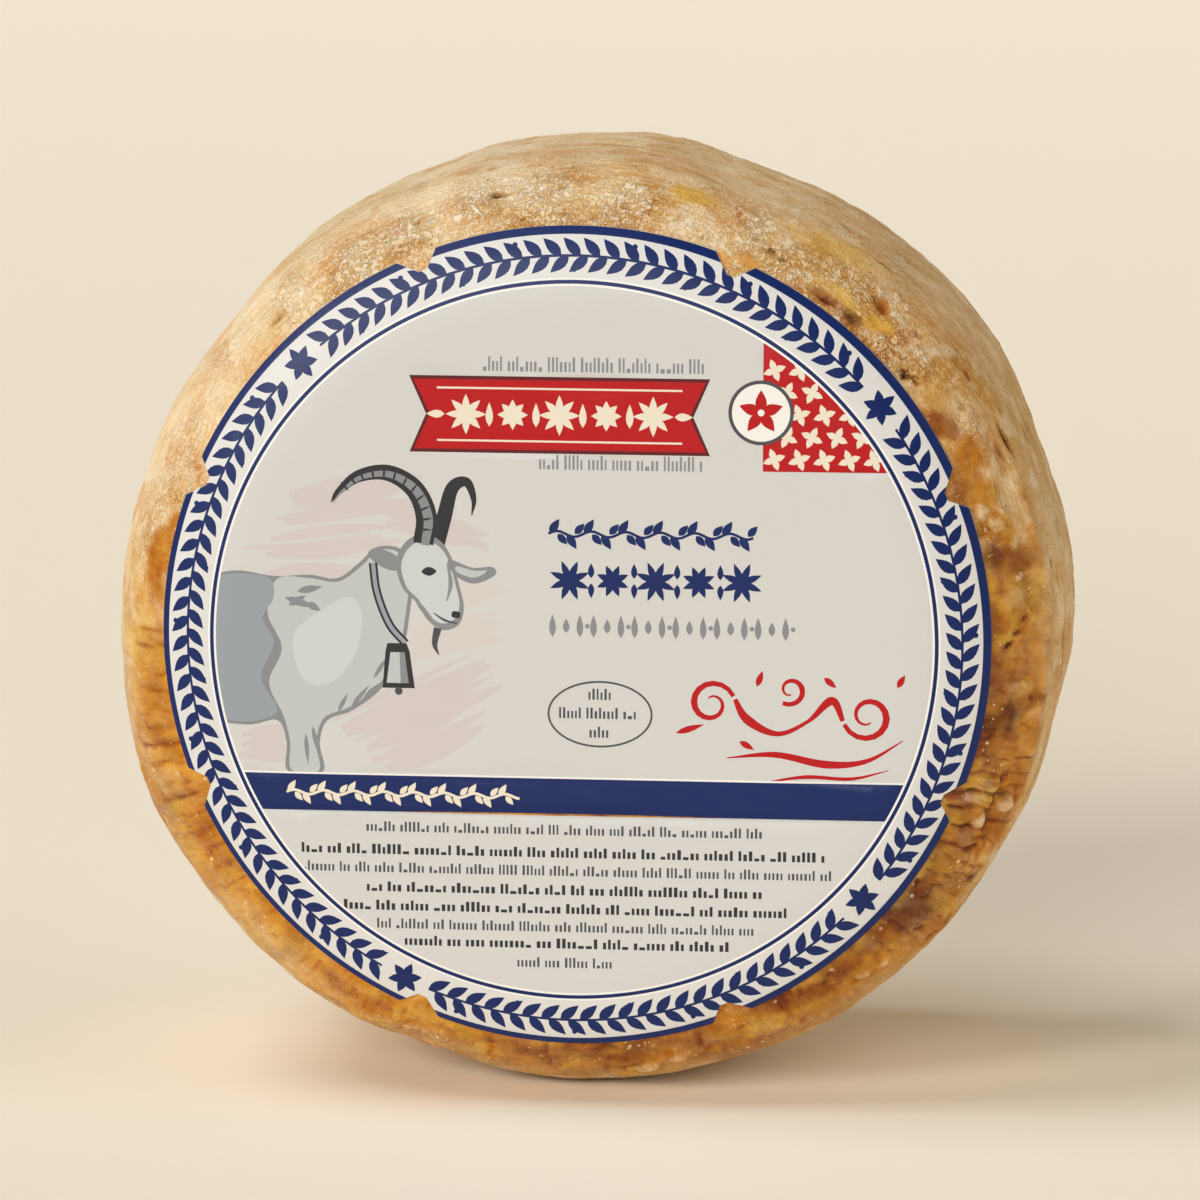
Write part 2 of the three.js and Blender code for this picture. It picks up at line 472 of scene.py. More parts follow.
# Pits: turn, across, length round the wheel, width, depth, lean in degrees, darkness.
pits = [
    (100, 9.7, 4.2, 1.3, 0.9, 0, 0.95), (97.0, 10.6, 1.6, 0.6, 0.3, 10, 0.25),
    (118, 12, 2.6, 0.7, 0.4, 5, 0.5), (120.5, 13, 2.0, 0.6, 0.3, 0, 0.4),
    (68, 43, 2.6, 1.1, 0.6, 20, 0.9), (57, 33, 3.4, 1.3, 0.8, 25, 0.9),
    (49, 44, 3.4, 1.3, 0.7, 20, 0.8), (38, 60, 3.0, 1.2, 0.6, 10, 0.8),
    (74, 20, 3.2, 0.7, 0.5, 10, 0.5), (88, 19, 4.5, 0.8, 0.5, 0, 0.35),
    (70, 12, 2.8, 0.8, 0.5, 15, 0.5), (64, 6.4, 2.2, 1.2, 0.6, 0, 0.85), (62.4, 5.2, 1.6, 1.0, 0.5, 0, 0.8),
    (48, 10.8, 4.2, 3.2, 1.5, 60, 0.15), (54.6, 2.6, 3.6, 1.3, 0.6, 0, 0.6),
    (50.4, 3.0, 3.0, 1.6, 0.7, 10, 0.7), (42.5, 11.8, 1.8, 1.2, 0.5, 30, 0.5),
    (44, 8.6, 1.4, 1.0, 0.4, 0, 0.45), (40, 2.6, 3.2, 2.6, 0.9, 70, 1.0),
    (38.5, 3.6, 2.4, 1.4, 0.5, 20, 0.8), (34.5, 16, 2.6, 2.0, 0.4, 20, 0.5),
    (19, -1.7, 4.2, 2.4, 0.8, 60, 0.5), (3.6, 7.4, 2.6, 1.2, 0.5, 60, 0.95),
    (1.9, 5.6, 2.0, 0.9, 0.4, 70, 0.9), (0.4, 3.6, 2.6, 1.2, 0.5, 60, 0.95),
    (353, 11, 1.4, 1.0, 0.4, 0, 0.6), (342, 9.1, 1.6, 1.0, 0.5, 0, 0.9),
    (328.5, 14.6, 3.4, 1.6, 0.8, 40, 0.95), (325, 0.8, 2.4, 1.4, 0.5, 0, 0.7),
    (319.5, 10.9, 2.6, 1.7, 0.8, 30, 1.0), (306, 3.4, 1.8, 1.3, 0.7, 30, 1.0),
    (307.2, 2.0, 1.2, 0.9, 0.4, 0, 0.8), (3, 60, 3.2, 1.0, 0.5, 0, 0.8),
    (1, 52, 3.0, 0.8, 0.5, 10, 0.8), (358.5, 22.5, 4.4, 0.8, 0.6, 5, 0.9),
    (12, 30, 3.4, 0.7, 0.4, 0, 0.8), (9, 19, 2.8, 0.6, 0.4, 0, 0.75),
    (275, 1.4, 2.0, 1.5, 0.9, 0, 1.0), (277, 9.6, 5.0, 1.2, 0.8, 10, 0.6),
    (198, 10.4, 1.0, 0.8, 0.4, 0, 0.9), (293, 3.0, 1.2, 0.8, 0.4, 0, 0.5),
    (232, 3.0, 1.0, 0.8, 0.3, 0, 0.6), (225, 6.0, 0.9, 0.7, 0.3, 0, 0.6),
    (262, 5.0, 0.9, 0.7, 0.3, 0, 0.5),
]

# Lumps that stand up out of the rind: turn, across, length, width, height, lean, paleness.
lumps = [
    (339, 3.4, 8.5, 2.6, 0.7, 90, 0.35), (336.1, 7.4, 4.4, 3.0, 1.1, 10, 0.95),
    (338.8, 12.6, 4.6, 3.2, 1.0, 20, 0.8), (336.6, 16.6, 2.8, 2.2, 0.8, 0, 0.7),
    (333.5, 4.6, 6.5, 3.2, 0.7, 80, 0.15), (333.4, 12.4, 4.5, 3.6, 0.8, 30, 0.1),
    (340.9, 4.6, 8.0, 2.8, 0.6, 90, 0.25), (330.5, 8.0, 5.0, 4.0, 0.6, 30, 0.1),
    (279, 10.2, 6.5, 3.0, 1.1, 0, 0.8), (283, 8.6, 4.4, 2.6, 0.8, 20, 0.6),
    (286.5, 7.0, 3.4, 2.2, 0.5, 20, 0.35), (19, 2.7, 4.2, 2.2, 0.7, 20, 0.6),
    (15.5, 8.0, 11.0, 6.0, 0.9, 80, 0.0), (16.5, 5.0, 4.0, 3.2, 0.6, 60, 0.45),
    (24, 8.6, 9.0, 6.0, 0.9, 0, 0.0), (30, 9.0, 7.0, 5.0, 0.6, 10, 0.0),
    (6.6, 5.6, 6.0, 5.0, 0.8, 40, 0.25), (9.0, 7.4, 3.6, 1.6, 0.4, 70, 0.7),
    (357.4, 8.2, 6.0, 6.0, 0.6, 60, 0.1), (354.6, 7.6, 7.6, 2.4, 0.6, 90, 0.3),
    (310, 8, 4.0, 2.2, 0.6, 30, 0.45), (313, 9.5, 3.2, 2.0, 0.5, 0, 0.45),
    (52.5, 1.5, 5.0, 3.4, 0.6, 0, 0.1), (45.5, 3.8, 5.0, 3.4, 0.5, 20, 0.3),
    (245, 8.0, 9.0, 5.0, 0.6, 0, 0.1), (215, 7.0, 9.0, 5.0, 0.5, 0, 0.1),
    (256, 7.0, 8.0, 5.0, 0.6, 20, 0.1), (267, 6.0, 9.0, 5.0, 0.7, 70, 0.05),
    (296, 6.4, 8.0, 5.4, 0.7, 60, 0.1), (288.6, 4.0, 6.0, 4.0, 0.5, 80, 0.05),
]

# Patches of another tone: turn, across, length, width, lean, tone, strength, softness, gloss.
patches = [
    (11, 6.8, 5.6, 13, 8, "amber", 0.85, 0.4, 0.8), (12.6, 2.0, 5.0, 5.0, 0, "burnt", 0.6, 0.5, 0.8),
    (31.5, 2.8, 9.0, 4.4, -30, "amber", 0.85, 0.3, 0.9), (26, 4.6, 8.0, 5.5, 20, "gold", 0.8, 0.4, 0.8),
    (21, 4.0, 7.0, 4.0, 30, "gold", 0.7, 0.5, 0.7), (350.2, 4.2, 6.6, 9.5, -18, "burnt", 0.9, 0.35, 0.8),
    (352.6, 10.6, 3.6, 8.0, -10, "amber", 0.85, 0.35, 0.8), (347.0, 2.4, 4.0, 5.0, 0, "amber", 0.6, 0.6, 0.6),
    (328.5, 2.6, 8.0, 5.0, 30, "burnt", 0.5, 0.5, 0.8), (322, 7.4, 3.4, 13, -28, "burnt", 0.6, 0.5, 0.6),
    (317.5, 3.4, 7.0, 5.6, 0, "amber", 0.7, 0.5, 0.8), (312, 7.5, 7.0, 8.0, 30, "honey", 0.5, 0.6, 0.7),
    (303, 3.0, 12, 5.0, 10, "amber", 0.6, 0.6, 0.7), (294, 9.6, 7.0, 4.0, 0, "amber", 0.4, 0.7, 0.5),
    (54.6, 3.0, 7.0, 3.2, 0, "amber", 0.8, 0.5, 0.5), (50.4, 3.0, 5.0, 2.8, 0, "burnt", 0.8, 0.5, 0.5),
    (46.8, 6.2, 7.0, 3.8, -40, "yellow", 0.85, 0.5, 0.7), (53.2, 5.8, 10, 3.6, 0, "yellow", 0.6, 0.7, 0.6),
    (56, 17, 22, 7.5, -22, "yellow", 0.6, 0.7, 0.5), (48.2, 10.8, 4.8, 3.6, 60, "gold", 0.9, 0.3, 0.7),
    (69.4, -0.4, 5.0, 4.4, 0, "tan", 0.95, 0.3, 0.6), (66.2, 1.6, 6.4, 3.4, 0, "tan", 0.95, 0.3, 0.6),
    (79, 33, 20, 11, 0, "peach", 0.75, 0.7, 0.0), (75.6, 26, 11, 6.0, 0, "tan", 0.7, 0.6, 0.2),
    (76, 13.4, 8.0, 5.0, 0, "yellow", 0.8, 0.6, 0.3), (70, 17, 9.0, 5.0, 0, "peach", 0.5, 0.7, 0.0),
    (94, 30, 24, 9.0, 0, "peach", 0.6, 0.7, 0.0), (106, 15, 22, 9.0, 0, "flour", 0.6, 0.7, 0.0),
    (124, 8.6, 9.0, 5.0, 0, "peach", 0.7, 0.6, 0.0), (114, 2.6, 10, 3.0, 0, "tan", 0.5, 0.7, 0.0),
    (98, 1.2, 16, 1.6, 0, "tan", 0.5, 0.7, 0.0), (85, 1.4, 12, 2.2, 0, "tan", 0.5, 0.7, 0.0),
    (144, 13.6, 12, 7.0, 0, "peach", 0.55, 0.7, 0.0), (152, 7.6, 12, 6.0, 0, "peach", 0.45, 0.7, 0.0),
    (132, 20, 14, 7.0, 0, "cream", 0.5, 0.7, 0.0), (170, 3.8, 14, 5.4, 0, "gold", 0.8, 0.5, 0.8),
    (164.6, 1.2, 5.0, 3.4, 0, "gold", 0.8, 0.5, 0.6), (184, 3.4, 12, 4.6, 0, "tan", 0.5, 0.7, 0.5),
    (192, 6.0, 14, 5.0, 0, "gold", 0.6, 0.6, 0.7), (206, 4.6, 10, 6.0, 0, "gold", 0.5, 0.6, 0.7),
    (240, 5.6, 12, 7.0, 0, "gold", 0.7, 0.7, 0.7), (264, 2.6, 14, 4.6, 0, "amber", 0.6, 0.7, 0.8),
    (275, 4.0, 8.0, 6.0, 40, "amber", 0.6, 0.6, 0.8), (286, 3.6, 8.0, 5.0, 0, "amber", 0.6, 0.6, 0.8),
    (30, 13, 10, 6.0, 0, "tan", 0.5, 0.7, 0.3), (14, 24, 12, 6.0, 0, "flour", 0.6, 0.7, 0.0),
    (33, 26, 14, 6.0, 0, "peach", 0.6, 0.7, 0.0), (40, 20, 8.0, 4.0, 0, "gold", 0.35, 0.7, 0.2),
    (3, 20, 10, 4.0, 0, "flour", 0.5, 0.7, 0.0), (346, 20, 20, 5.0, 0, "cream", 0.6, 0.7, 0.0),
]

# Cracks that run across the shoulder where the skin has pleated: turn, from, to, depth.
cracks = [
    (345.0, 0.4, 17.5, 0.8), (342.5, 0.4, 17.0, 0.8), (339.9, -2.5, 11.5, 1.0), (337.4, -1.5, 9.5, 1.0),
    (334.9, 1.5, 10.5, 1.2), (332.0, 0.4, 9.5, 1.1), (347.6, 1.0, 9.0, 0.45), (343.8, 3.0, 12.0, 0.4),
    (341.3, 0.0, 8.0, 0.4), (338.5, 5.0, 10.0, 0.4), (333.4, 8.0, 15.0, 0.7), (330.2, 3.0, 14.0, 0.6),
    (327.4, 1.0, 8.0, 0.5), (325.4, 5.0, 13.0, 0.6), (323.6, 2.0, 9.0, 0.4), (318.2, 2.0, 9.0, 0.5),
    (315.2, 4.0, 12.0, 0.5), (354.0, 1.0, 7.5, 0.5), (356.2, 2.0, 9.0, 0.35), (358.2, 0.5, 6.0, 0.4),
    (336.4, 9.5, 18.0, 0.7), (340.6, 10.0, 15.0, 0.6), (349.2, 5.0, 13.0, 0.35), (328.8, 9.0, 16.0, 0.5),
]
# Cracks that run round the rim: across, from turn, to turn, depth.
splits = [
    (9.8, 331.0, 341.0, 0.9), (14.4, 334.0, 344.0, 0.8), (12.0, 328.0, 335.5, 0.6), (17.6, 336, 352, 0.5),
    (17.2, 353, 366, 0.6), (20.5, 6, 14, 0.5), (23.5, 350, 361, 0.7), (26.5, 338, 348, 0.5),
    (15.0, 318, 327, 0.5),
]
# Thin creases across the shoulder: turn, how far they reach across, depth.
creases = [
    (179.5, 7, 0.3), (182, 9, 0.35), (185.5, 6, 0.2), (188, 10, 0.3), (190.6, 6, 0.2),
    (193, 9, 0.4), (195.5, 11, 0.4), (198, 9, 0.3), (200.6, 7, 0.3), (203, 10, 0.45),
    (205.4, 6, 0.25), (208, 9, 0.4), (211, 6, 0.2), (216, 8, 0.25), (222, 7, 0.2),
    (230, 8, 0.2), (251, 7, 0.2), (258, 8, 0.25), (266, 9, 0.2), (287, 7, 0.25),
    (299, 8, 0.25), (303, 6, 0.2), (309, 8, 0.25), (7.6, 5, 0.2), (16, 6, 0.2),
]


def alongRim(turn, at):
    # Millimetres from a turn, measured along the shoulder.
    return np.radians(turnFrom(turn, at)) * rind["midRadius"]


def oval(turn, across, at, over, length, width, lean):
    # Distance from a spot in the spot's own half sizes, with the spot turned by `lean` degrees.
    along = alongRim(turn, at)
    past = across - over
    c, s = math.cos(math.radians(lean)), math.sin(math.radians(lean))
    return np.hypot((along * c + past * s) / (length / 2), (past * c - along * s) / (width / 2))


def clearOfLabel(x, z):
    # How far outside the label's outline a point of the face plane is, in mm: past its circle, or
    # inside one of its nicks, whose sides are straight.
    z = z - wheel["labelRise"]
    reach = np.hypot(x, z)
    turn = np.degrees(np.arctan2(z, x))
    clear = reach - wheel["labelRadius"]
    ends = (wheel["labelRadius"] - nick["depth"], wheel["labelRadius"])
    halfWidth = np.interp(reach, ends, (nick["floor"] / 2, nick["mouth"] / 2))
    lean = np.interp(reach, ends, (-nick["lean"], 0))
    for middle in nickTurns:
        along = np.radians(turnFrom(turn, middle)) * reach
        clear = np.maximum(clear, np.minimum(reach - ends[0], halfWidth - np.abs(along - lean)))
    return clear


def patchMasks(turn, across, place):
    # Each patch with its mask: 1 inside its ragged oval, with a smooth step down to 0 at its edge.
    ragged = 1 + 0.30 * gradientNoise(place, 4.5, 24) + 0.18 * gradientNoise(place, 1.9, 25)
    for patch in patches:
        gap = oval(turn, across, *patch[:5]) * ragged
        soft = patch[7]
        yield patch, 1 - smoothStep(gap, 1 - soft, 1 + soft)


def skinKinds(turn, across, place):
    # Where the rind is crumbly and where it is waxy, each from 0 to 1.
    patchy = gradientNoise(place, 15, 21)
    past = 1 - smoothStep(across + 4 * patchy, 7, 19)
    crumbly = (sector(turn, 44, 128, 16) + 0.6 * sector(turn, 28, 60, 12)) * (0.25 + 0.75 * past)
    crumbly += 0.35 * sector(turn, 128, 172, 10) * past
    clumps = 0.45 + 0.75 * smoothStep(gradientNoise(place, 11, 23), -0.35, 0.35)
    crumbly = np.clip(crumbly * clumps + 0.12, 0, 1)
    waxy = sector(turn, 176, 374, 22) * (1 - smoothStep(across + 2.5 * patchy, 12.5, 19))
    waxy = np.clip(waxy + 0.5 * sector(turn, 18, 40, 8) * (1 - smoothStep(across, 5, 11)), 0, 1)
    for patch, inside in patchMasks(turn, across, place):
        gloss = patch[8]
        waxy = np.maximum(waxy, gloss * inside)
        crumbly = crumbly * (1 - 0.9 * min(1, gloss * 1.3) * inside)
    return crumbly * (1 - 0.85 * waxy), waxy


def addCracks(turn, across, grain, height, dark):
    # Cracks with a soft valley on both sides, so that what lies between them is a pillow: the crack
    # is exp(-(gap / narrow)^2) and its valley exp(-(gap / wide)^1.4). Along each crack, split and
    # crease the colour is darkened as painted shade. Changes the arrays it is given.
    wiggle = 0.75 * gradientNoise(grain, 7, 41) + 0.3 * gradientNoise(grain, 2.2, 42)
    fray = 0.75 + 0.6 * gradientNoise(grain, 3.4, 43)
    for at, start, end, depth in cracks:
        gap = np.abs(alongRim(turn, at) + wiggle * 1.5)
        amount = depth * band(across, start, end, 1.6) * np.clip(fray, 0.25, 1.2)
        height -= amount * (0.55 * np.exp(-((gap / 0.34) ** 2)) + 0.40 * np.exp(-((gap / 1.15) ** 1.4)))
        # Painted shade along the crack and, fainter, over its valley.
        dark += 1.0 * amount * np.exp(-((gap / 0.30) ** 2)) + 0.12 * amount * np.exp(-((gap / 1.0) ** 2))
    for over, start, end, depth in splits:
        gap = np.abs(across - over - 1.1 * wiggle)
        amount = depth * sector(turn, start, end, 2) * np.clip(fray * 1.5 - 0.5, 0, 1.3)
        height -= amount * (0.5 * np.exp(-((gap / 0.36) ** 2)) + 0.3 * np.exp(-((gap / 1.1) ** 1.4)))
        # Painted shade along the split.
        dark += 0.95 * amount * np.exp(-((gap / 0.34) ** 2))
    for at, reach, depth in creases:
        gap = np.abs(alongRim(turn, at) + 0.8 * gradientNoise(grain, 6, 51))
        along = band(across, 0.5, reach, 1.8)
        height -= depth * along * np.exp(-((gap / 0.5) ** 2))
        # Painted shade along the crease.
        dark += min(0.5, 1.4 * depth) * along * np.exp(-((gap / 0.36) ** 2))


def addNicks(across, grain, waxy, height, dark):
    # Scattered small pits and nicks, longer round the rim than across it: a cell's own number says
    # whether it has one, and its depth falls off as exp(-gap^2.5). Each is darkened by its tone as
    # painted shade. Changes the arrays it is given.
    for size, seed, share, wide, depth, tone, stretch in (
        (5.5, 61, 0.30, 0.10, 0.30, 0.8, 0.40), (8.0, 62, 0.35, 0.085, 0.50, 0.9, 0.28),
        (3.0, 63, 0.25, 0.13, 0.16, 0.55, 0.45), (6.5, 64, 0.35, 0.06, 0.30, 0.75, 0.16),
    ):
        near, _, own = cellNoise(grain * np.array([stretch, stretch, 1.0]), size, seed)
        here = (own[:, 0] < share) * np.exp(-((near / (wide * (0.5 + own[:, 1]))) ** 2.5))
        amount = here * (1 - 0.75 * waxy) * smoothStep(across, 1.5, 4)
        height -= depth * amount
        # Painted shade in the pit.
        dark += tone * amount


def addSpots(turn, across, place, height, dark, pale):
    # The pits and lumps that have their own places: a pit is exp(-gap^3), a lump (1 - gap^2)^0.7.
    # Each pit is darkened by its darkness as painted shade, and each lump is paled by its paleness.
    # Changes the arrays it is given.
    ragged = 1 + 0.35 * gradientNoise(place, 1.8, 71) + 0.25 * gradientNoise(place, 4, 72)
    for at, over, length, width, depth, lean, tone in pits:
        gap = oval(turn, across, at, over, length, width, lean) * ragged
        height -= depth * np.exp(-(gap**3))
        # Painted shade in the pit.
        dark += tone * np.exp(-((gap * 1.1) ** 4))
    for at, over, length, width, rise, lean, tone in lumps:
        gap = oval(turn, across, at, over, length, width, lean) * ragged
        shape = np.clip(1 - gap**2, 0, 1) ** 0.7
        height += rise * shape
        pale += tone * smoothStep(shape, 0.25, 0.6)


def rindRelief(turn, across, place):
    # Height of the rind over the plain wheel, in mm, and the masks that its colours follow, among
    # them painted shade in its hollows and painted highlight on its crumbs.
    angle = np.radians(turn)
    radius = rind["midRadius"]
    grain = np.stack([radius * np.cos(angle), radius * np.sin(angle), across], -1)
    # On the back face, where round lines would meet at the middle, the grain lies level instead.
    level = smoothStep(across, *rind["levelGrain"])[:, None]
    grain = grain * (1 - level) + place * level
    noise = {size: gradientNoise(place, size, 3 + i) for i, (size, _) in enumerate(rind["swells"])}
    height = sum(rise * noise[size] for size, rise in rind["swells"])
    crumbly, waxy = skinKinds(turn, across, place)
    wall = smoothStep(across, 15, 20) * (1 - smoothStep(across, 108, 116))
    dark = np.zeros(len(turn))
    pale = np.zeros(len(turn))

    # Soft swells where it is waxy.
    for i, (size, rise) in enumerate(rind["waxSwells"]):
        height += rise * waxy * gradientNoise(place, size, 26 + i)

    # Crumbs: domes round scattered seeds, with valleys between them, stretched along the rim. Their
    # tops are paled, flour dust and painted highlight both, and the valleys get painted shade.
    stretched = grain * np.array([0.8, 0.8, 1.0])
    near, second, own = cellNoise(stretched, rind["crumbSize"], 5)
    crumb = np.clip(second - near, 0, 0.5) * 2 * (0.5 + own[:, 0])
    height += rind["crumbHeight"] * crumbly * (crumb - 0.5)
    pale += 0.28 * crumbly * smoothStep(crumb, 0.7, 1.15)
    dark += 0.14 * crumbly * (1 - smoothStep(crumb, 0.06, 0.34))
    coarse, coarseNext, _ = cellNoise(stretched, rind["clodSize"], 6)
    clod = np.clip(coarseNext - coarse, 0, 0.5) * 2
    waxClod, dryClod = rind["clodHeights"]
    height += (waxClod * waxy + dryClod * crumbly) * (clod - 0.5)

    # Fine lines that run round the rim, left by the cloth and the shelf, with painted shade in the
    # deepest of them.
    coarseLine = gradientNoise(grain * np.array([0.07, 0.07, 1.0]), 1.7, 31)
    fineLine = gradientNoise(grain * np.array([0.13, 0.13, 1.0]), 0.9, 32)
    lines = (1 - np.abs(coarseLine)) ** 4 + 0.4 * (1 - np.abs(fineLine)) ** 4
    height -= (0.05 + 0.04 * wall) * (1 - waxy) * (lines - 0.6)
    dark += 0.05 * (1 - waxy) * smoothStep(lines, 1.05, 1.4)

    # Low folds that run round the rim, stronger at the right.
    fold = gradientNoise(grain * np.array([0.10, 0.10, 1.0]), 4.2, 34)
    height += (0.10 + 0.22 * sector(turn, -44, 40, 20)) * wall * (1 - np.abs(fold)) ** 2

    # Fine grain that runs across the shoulder where the skin is waxy, with painted shade in its
    # deepest grooves.
    crossGrain = gradientNoise(grain * np.array([1.0, 1.0, 0.13]), 1.5, 33)
    finer = gradientNoise(grain * np.array([1.0, 1.0, 0.16]), 0.8, 35)
    combed = np.clip((1 - np.abs(crossGrain)) ** 3 + 0.5 * (1 - np.abs(finer)) ** 3 - 0.2, 0, 1)
    clumped = 0.4 + 0.6 * smoothStep(gradientNoise(grain, 14, 36), -0.2, 0.3)
    strands = waxy * clumped * sector(turn, 168, 348, 10)
    height -= rind["strandDepth"] * strands * combed * (1 - smoothStep(across, 10, 15))
    dark += 0.26 * strands * smoothStep(combed, 0.7, 1.0)

    # The ridge between shoulder and rim on the right.
    ridgeMask = sector(turn, 316, 384, 12)
    ridgeLine = rind["ridgeAt"] + 0.9 * noise[24] + 0.7 * gradientNoise(grain, 12, 44)
    height += rind["ridgeHeight"] * ridgeMask * np.exp(-(((across - ridgeLine) / 2.0) ** 2))
    height -= 0.35 * ridgeMask * np.exp(-(((across - ridgeLine + 4.5) / 2.4) ** 2))

    addCracks(turn, across, grain, height, dark)
    addNicks(across, grain, waxy, height, dark)
    addSpots(turn, across, place, height, dark, pale)

    # The rim keeps to its measured size, and the bottom has settled where it rests.
    overRim = smoothStep(across, 12, 30)
    height -= 0.45 * smoothStep(across, 14, 30)
    height -= 0.5 * (sector(turn, 58, 78, 8) + sector(turn, 144, 184, 10)) * overRim
    height += (1.1 * sector(turn, -7, 12, 8) + 0.6 * sector(turn, -26, -17, 8)) * overRim
    flats = sector(turn, 174, 186, 8) + sector(turn, 204, 214, 8) + sector(turn, 106, 114, 8)
    height -= 0.6 * flats * overRim
    height -= 0.8 * sector(turn, 248, 292, 16) * band(across, 5, 40, 5)

    # Nothing pushes the label up: what lies under it is held down, and beside it the height is
    # limited in proportion to the distance. The face beneath it is plain.
    clear = clearOfLabel(place[:, 0] - axisX, place[:, 2] - axisZ)
    clear = np.where(across > 4, 9.0, clear)
    free = smoothStep(clear, -0.6, 0.7)
    hidden = np.minimum(height, rind["underLabel"]) * smoothStep(across, -7, -4)
    height = hidden * (1 - free) + np.minimum(height, 0.25 + 2.0 * np.maximum(clear, 0)) * free

    # The fine marks fade out where the rings close up at the back's middle.
    marked = smoothStep(profileAcross[-1] - across, *rind["plainMiddle"])
    height, dark, pale, crumbly = (part * marked for part in (height, dark, pale, crumbly))
    return height, {
        "grain": grain,
        "crumbly": crumbly,
        "waxy": waxy,
        "dark": np.clip(dark, 0, 1),
        "pale": np.clip(pale, 0, 1),
    }


def blend(colour, other, share):
    # Part of the way from one colour to another, with a share for each point.
    return colour * (1 - share[:, None]) + other * share[:, None]


def rindColours(turn, across, place, masks):
    # The painted tones, read at a place that wanders a little, then patched, mottled, paled with
    # flour on the lumps and the crumbs' tops, where it is painted highlight as well, and darkened
    # with painted shade in the cracks, pits and grooves.
    names = list(tones)
    palette = np.array([hexColour(tones[name]) for name in names])
    at = np.array([row[0] for row in toneStations] + [toneStations[0][0] + 360], float)
    table = np.array([[palette[names.index(n)] for n in words.split()] for _, words in toneStations])
    table = np.concatenate([table, table[:1]])
    where = (turn + 3.4 * gradientNoise(place, 13, 81) + 1.8 * gradientNoise(place, 5, 82)) % 360
    over = across + 2.4 * gradientNoise(place, 10, 83) + 1.1 * gradientNoise(place, 3.5, 84)
    low = np.clip(np.searchsorted(at, where, side="right") - 1, 0, len(at) - 2)
    part = smoothStep((where - at[low]) / (at[low + 1] - at[low]), 0, 1)[:, None, None]
    row = table[low] * (1 - part) + table[low + 1] * part
    stop = np.interp(over, (1.5, 8.5, 16, 30), (0, 1, 2, 3))
    first = np.minimum(stop.astype(int), 2)
    index = np.arange(len(turn))
    colour = blend(row[index, first], row[index, first + 1], stop - first)

    # The far side wanders between straw and tan.
    patch = smoothStep(gradientNoise(place, 30, 85) + 0.5 * gradientNoise(place, 9, 86), -0.6, 0.6)
    rear = blend(np.tile(hexColour(tones["tan"]), (len(turn), 1)), hexColour(tones["cream"]), patch)
    colour = blend(colour, rear, smoothStep(across, 55, 100))

    # Clouds of tan, of peach and of flour a few millimetres to a few centimetres across.
    waxy = masks["waxy"]
    for tone, size, seed, low, high, dry, wet in (
        ("tan", 12, 89, 0.10, 0.60, 0.40, 0.10), ("peach", 9, 91, 0.05, 0.45, 0.60, 0.10),
        ("flour", 7, 92, 0.05, 0.50, 0.60, 0.08), ("flour", 3.0, 93, 0.20, 0.60, 0.30, 0.05),
        ("amber", 8.0, 94, -0.10, 0.80, 0.08, 0.50), ("yellow", 8.0, 95, -0.10, 0.70, 0.10, 0.60),
    ):
        cloud = gradientNoise(place, size, seed) + 0.4 * gradientNoise(place, size / 3, seed)
        share = smoothStep(cloud, low, high) * (dry * (1 - waxy) + wet * waxy)
        colour = blend(colour, hexColour(tones[tone]), share)
    for patch, inside in patchMasks(turn, across, place):
        tone, strength = patch[5:7]
        colour = blend(colour, hexColour(tones[tone]), strength * inside)
    mottle = 1 + 0.14 * gradientNoise(place, 6, 87) + 0.12 * gradientNoise(place, 2.0, 88)
    colour = colour ** mottle[:, None]  # a power, so what is darker is also richer
    # Flour on the pale lumps and on the crumbs' tops, where it is also painted highlight.
    colour = blend(colour, hexColour(tones["flour"]), masks["pale"] * 0.8)
    # Painted shade in the cracks, pits, grooves and crumb valleys: a power, then a blend to umber.
    dark = masks["dark"]
    colour = np.clip(colour, 0, 1) ** (1 + 1.3 * dark)[:, None]
    return blend(colour, hexColour(tones["umber"]) * 0.8, dark**1.7 * 0.9)


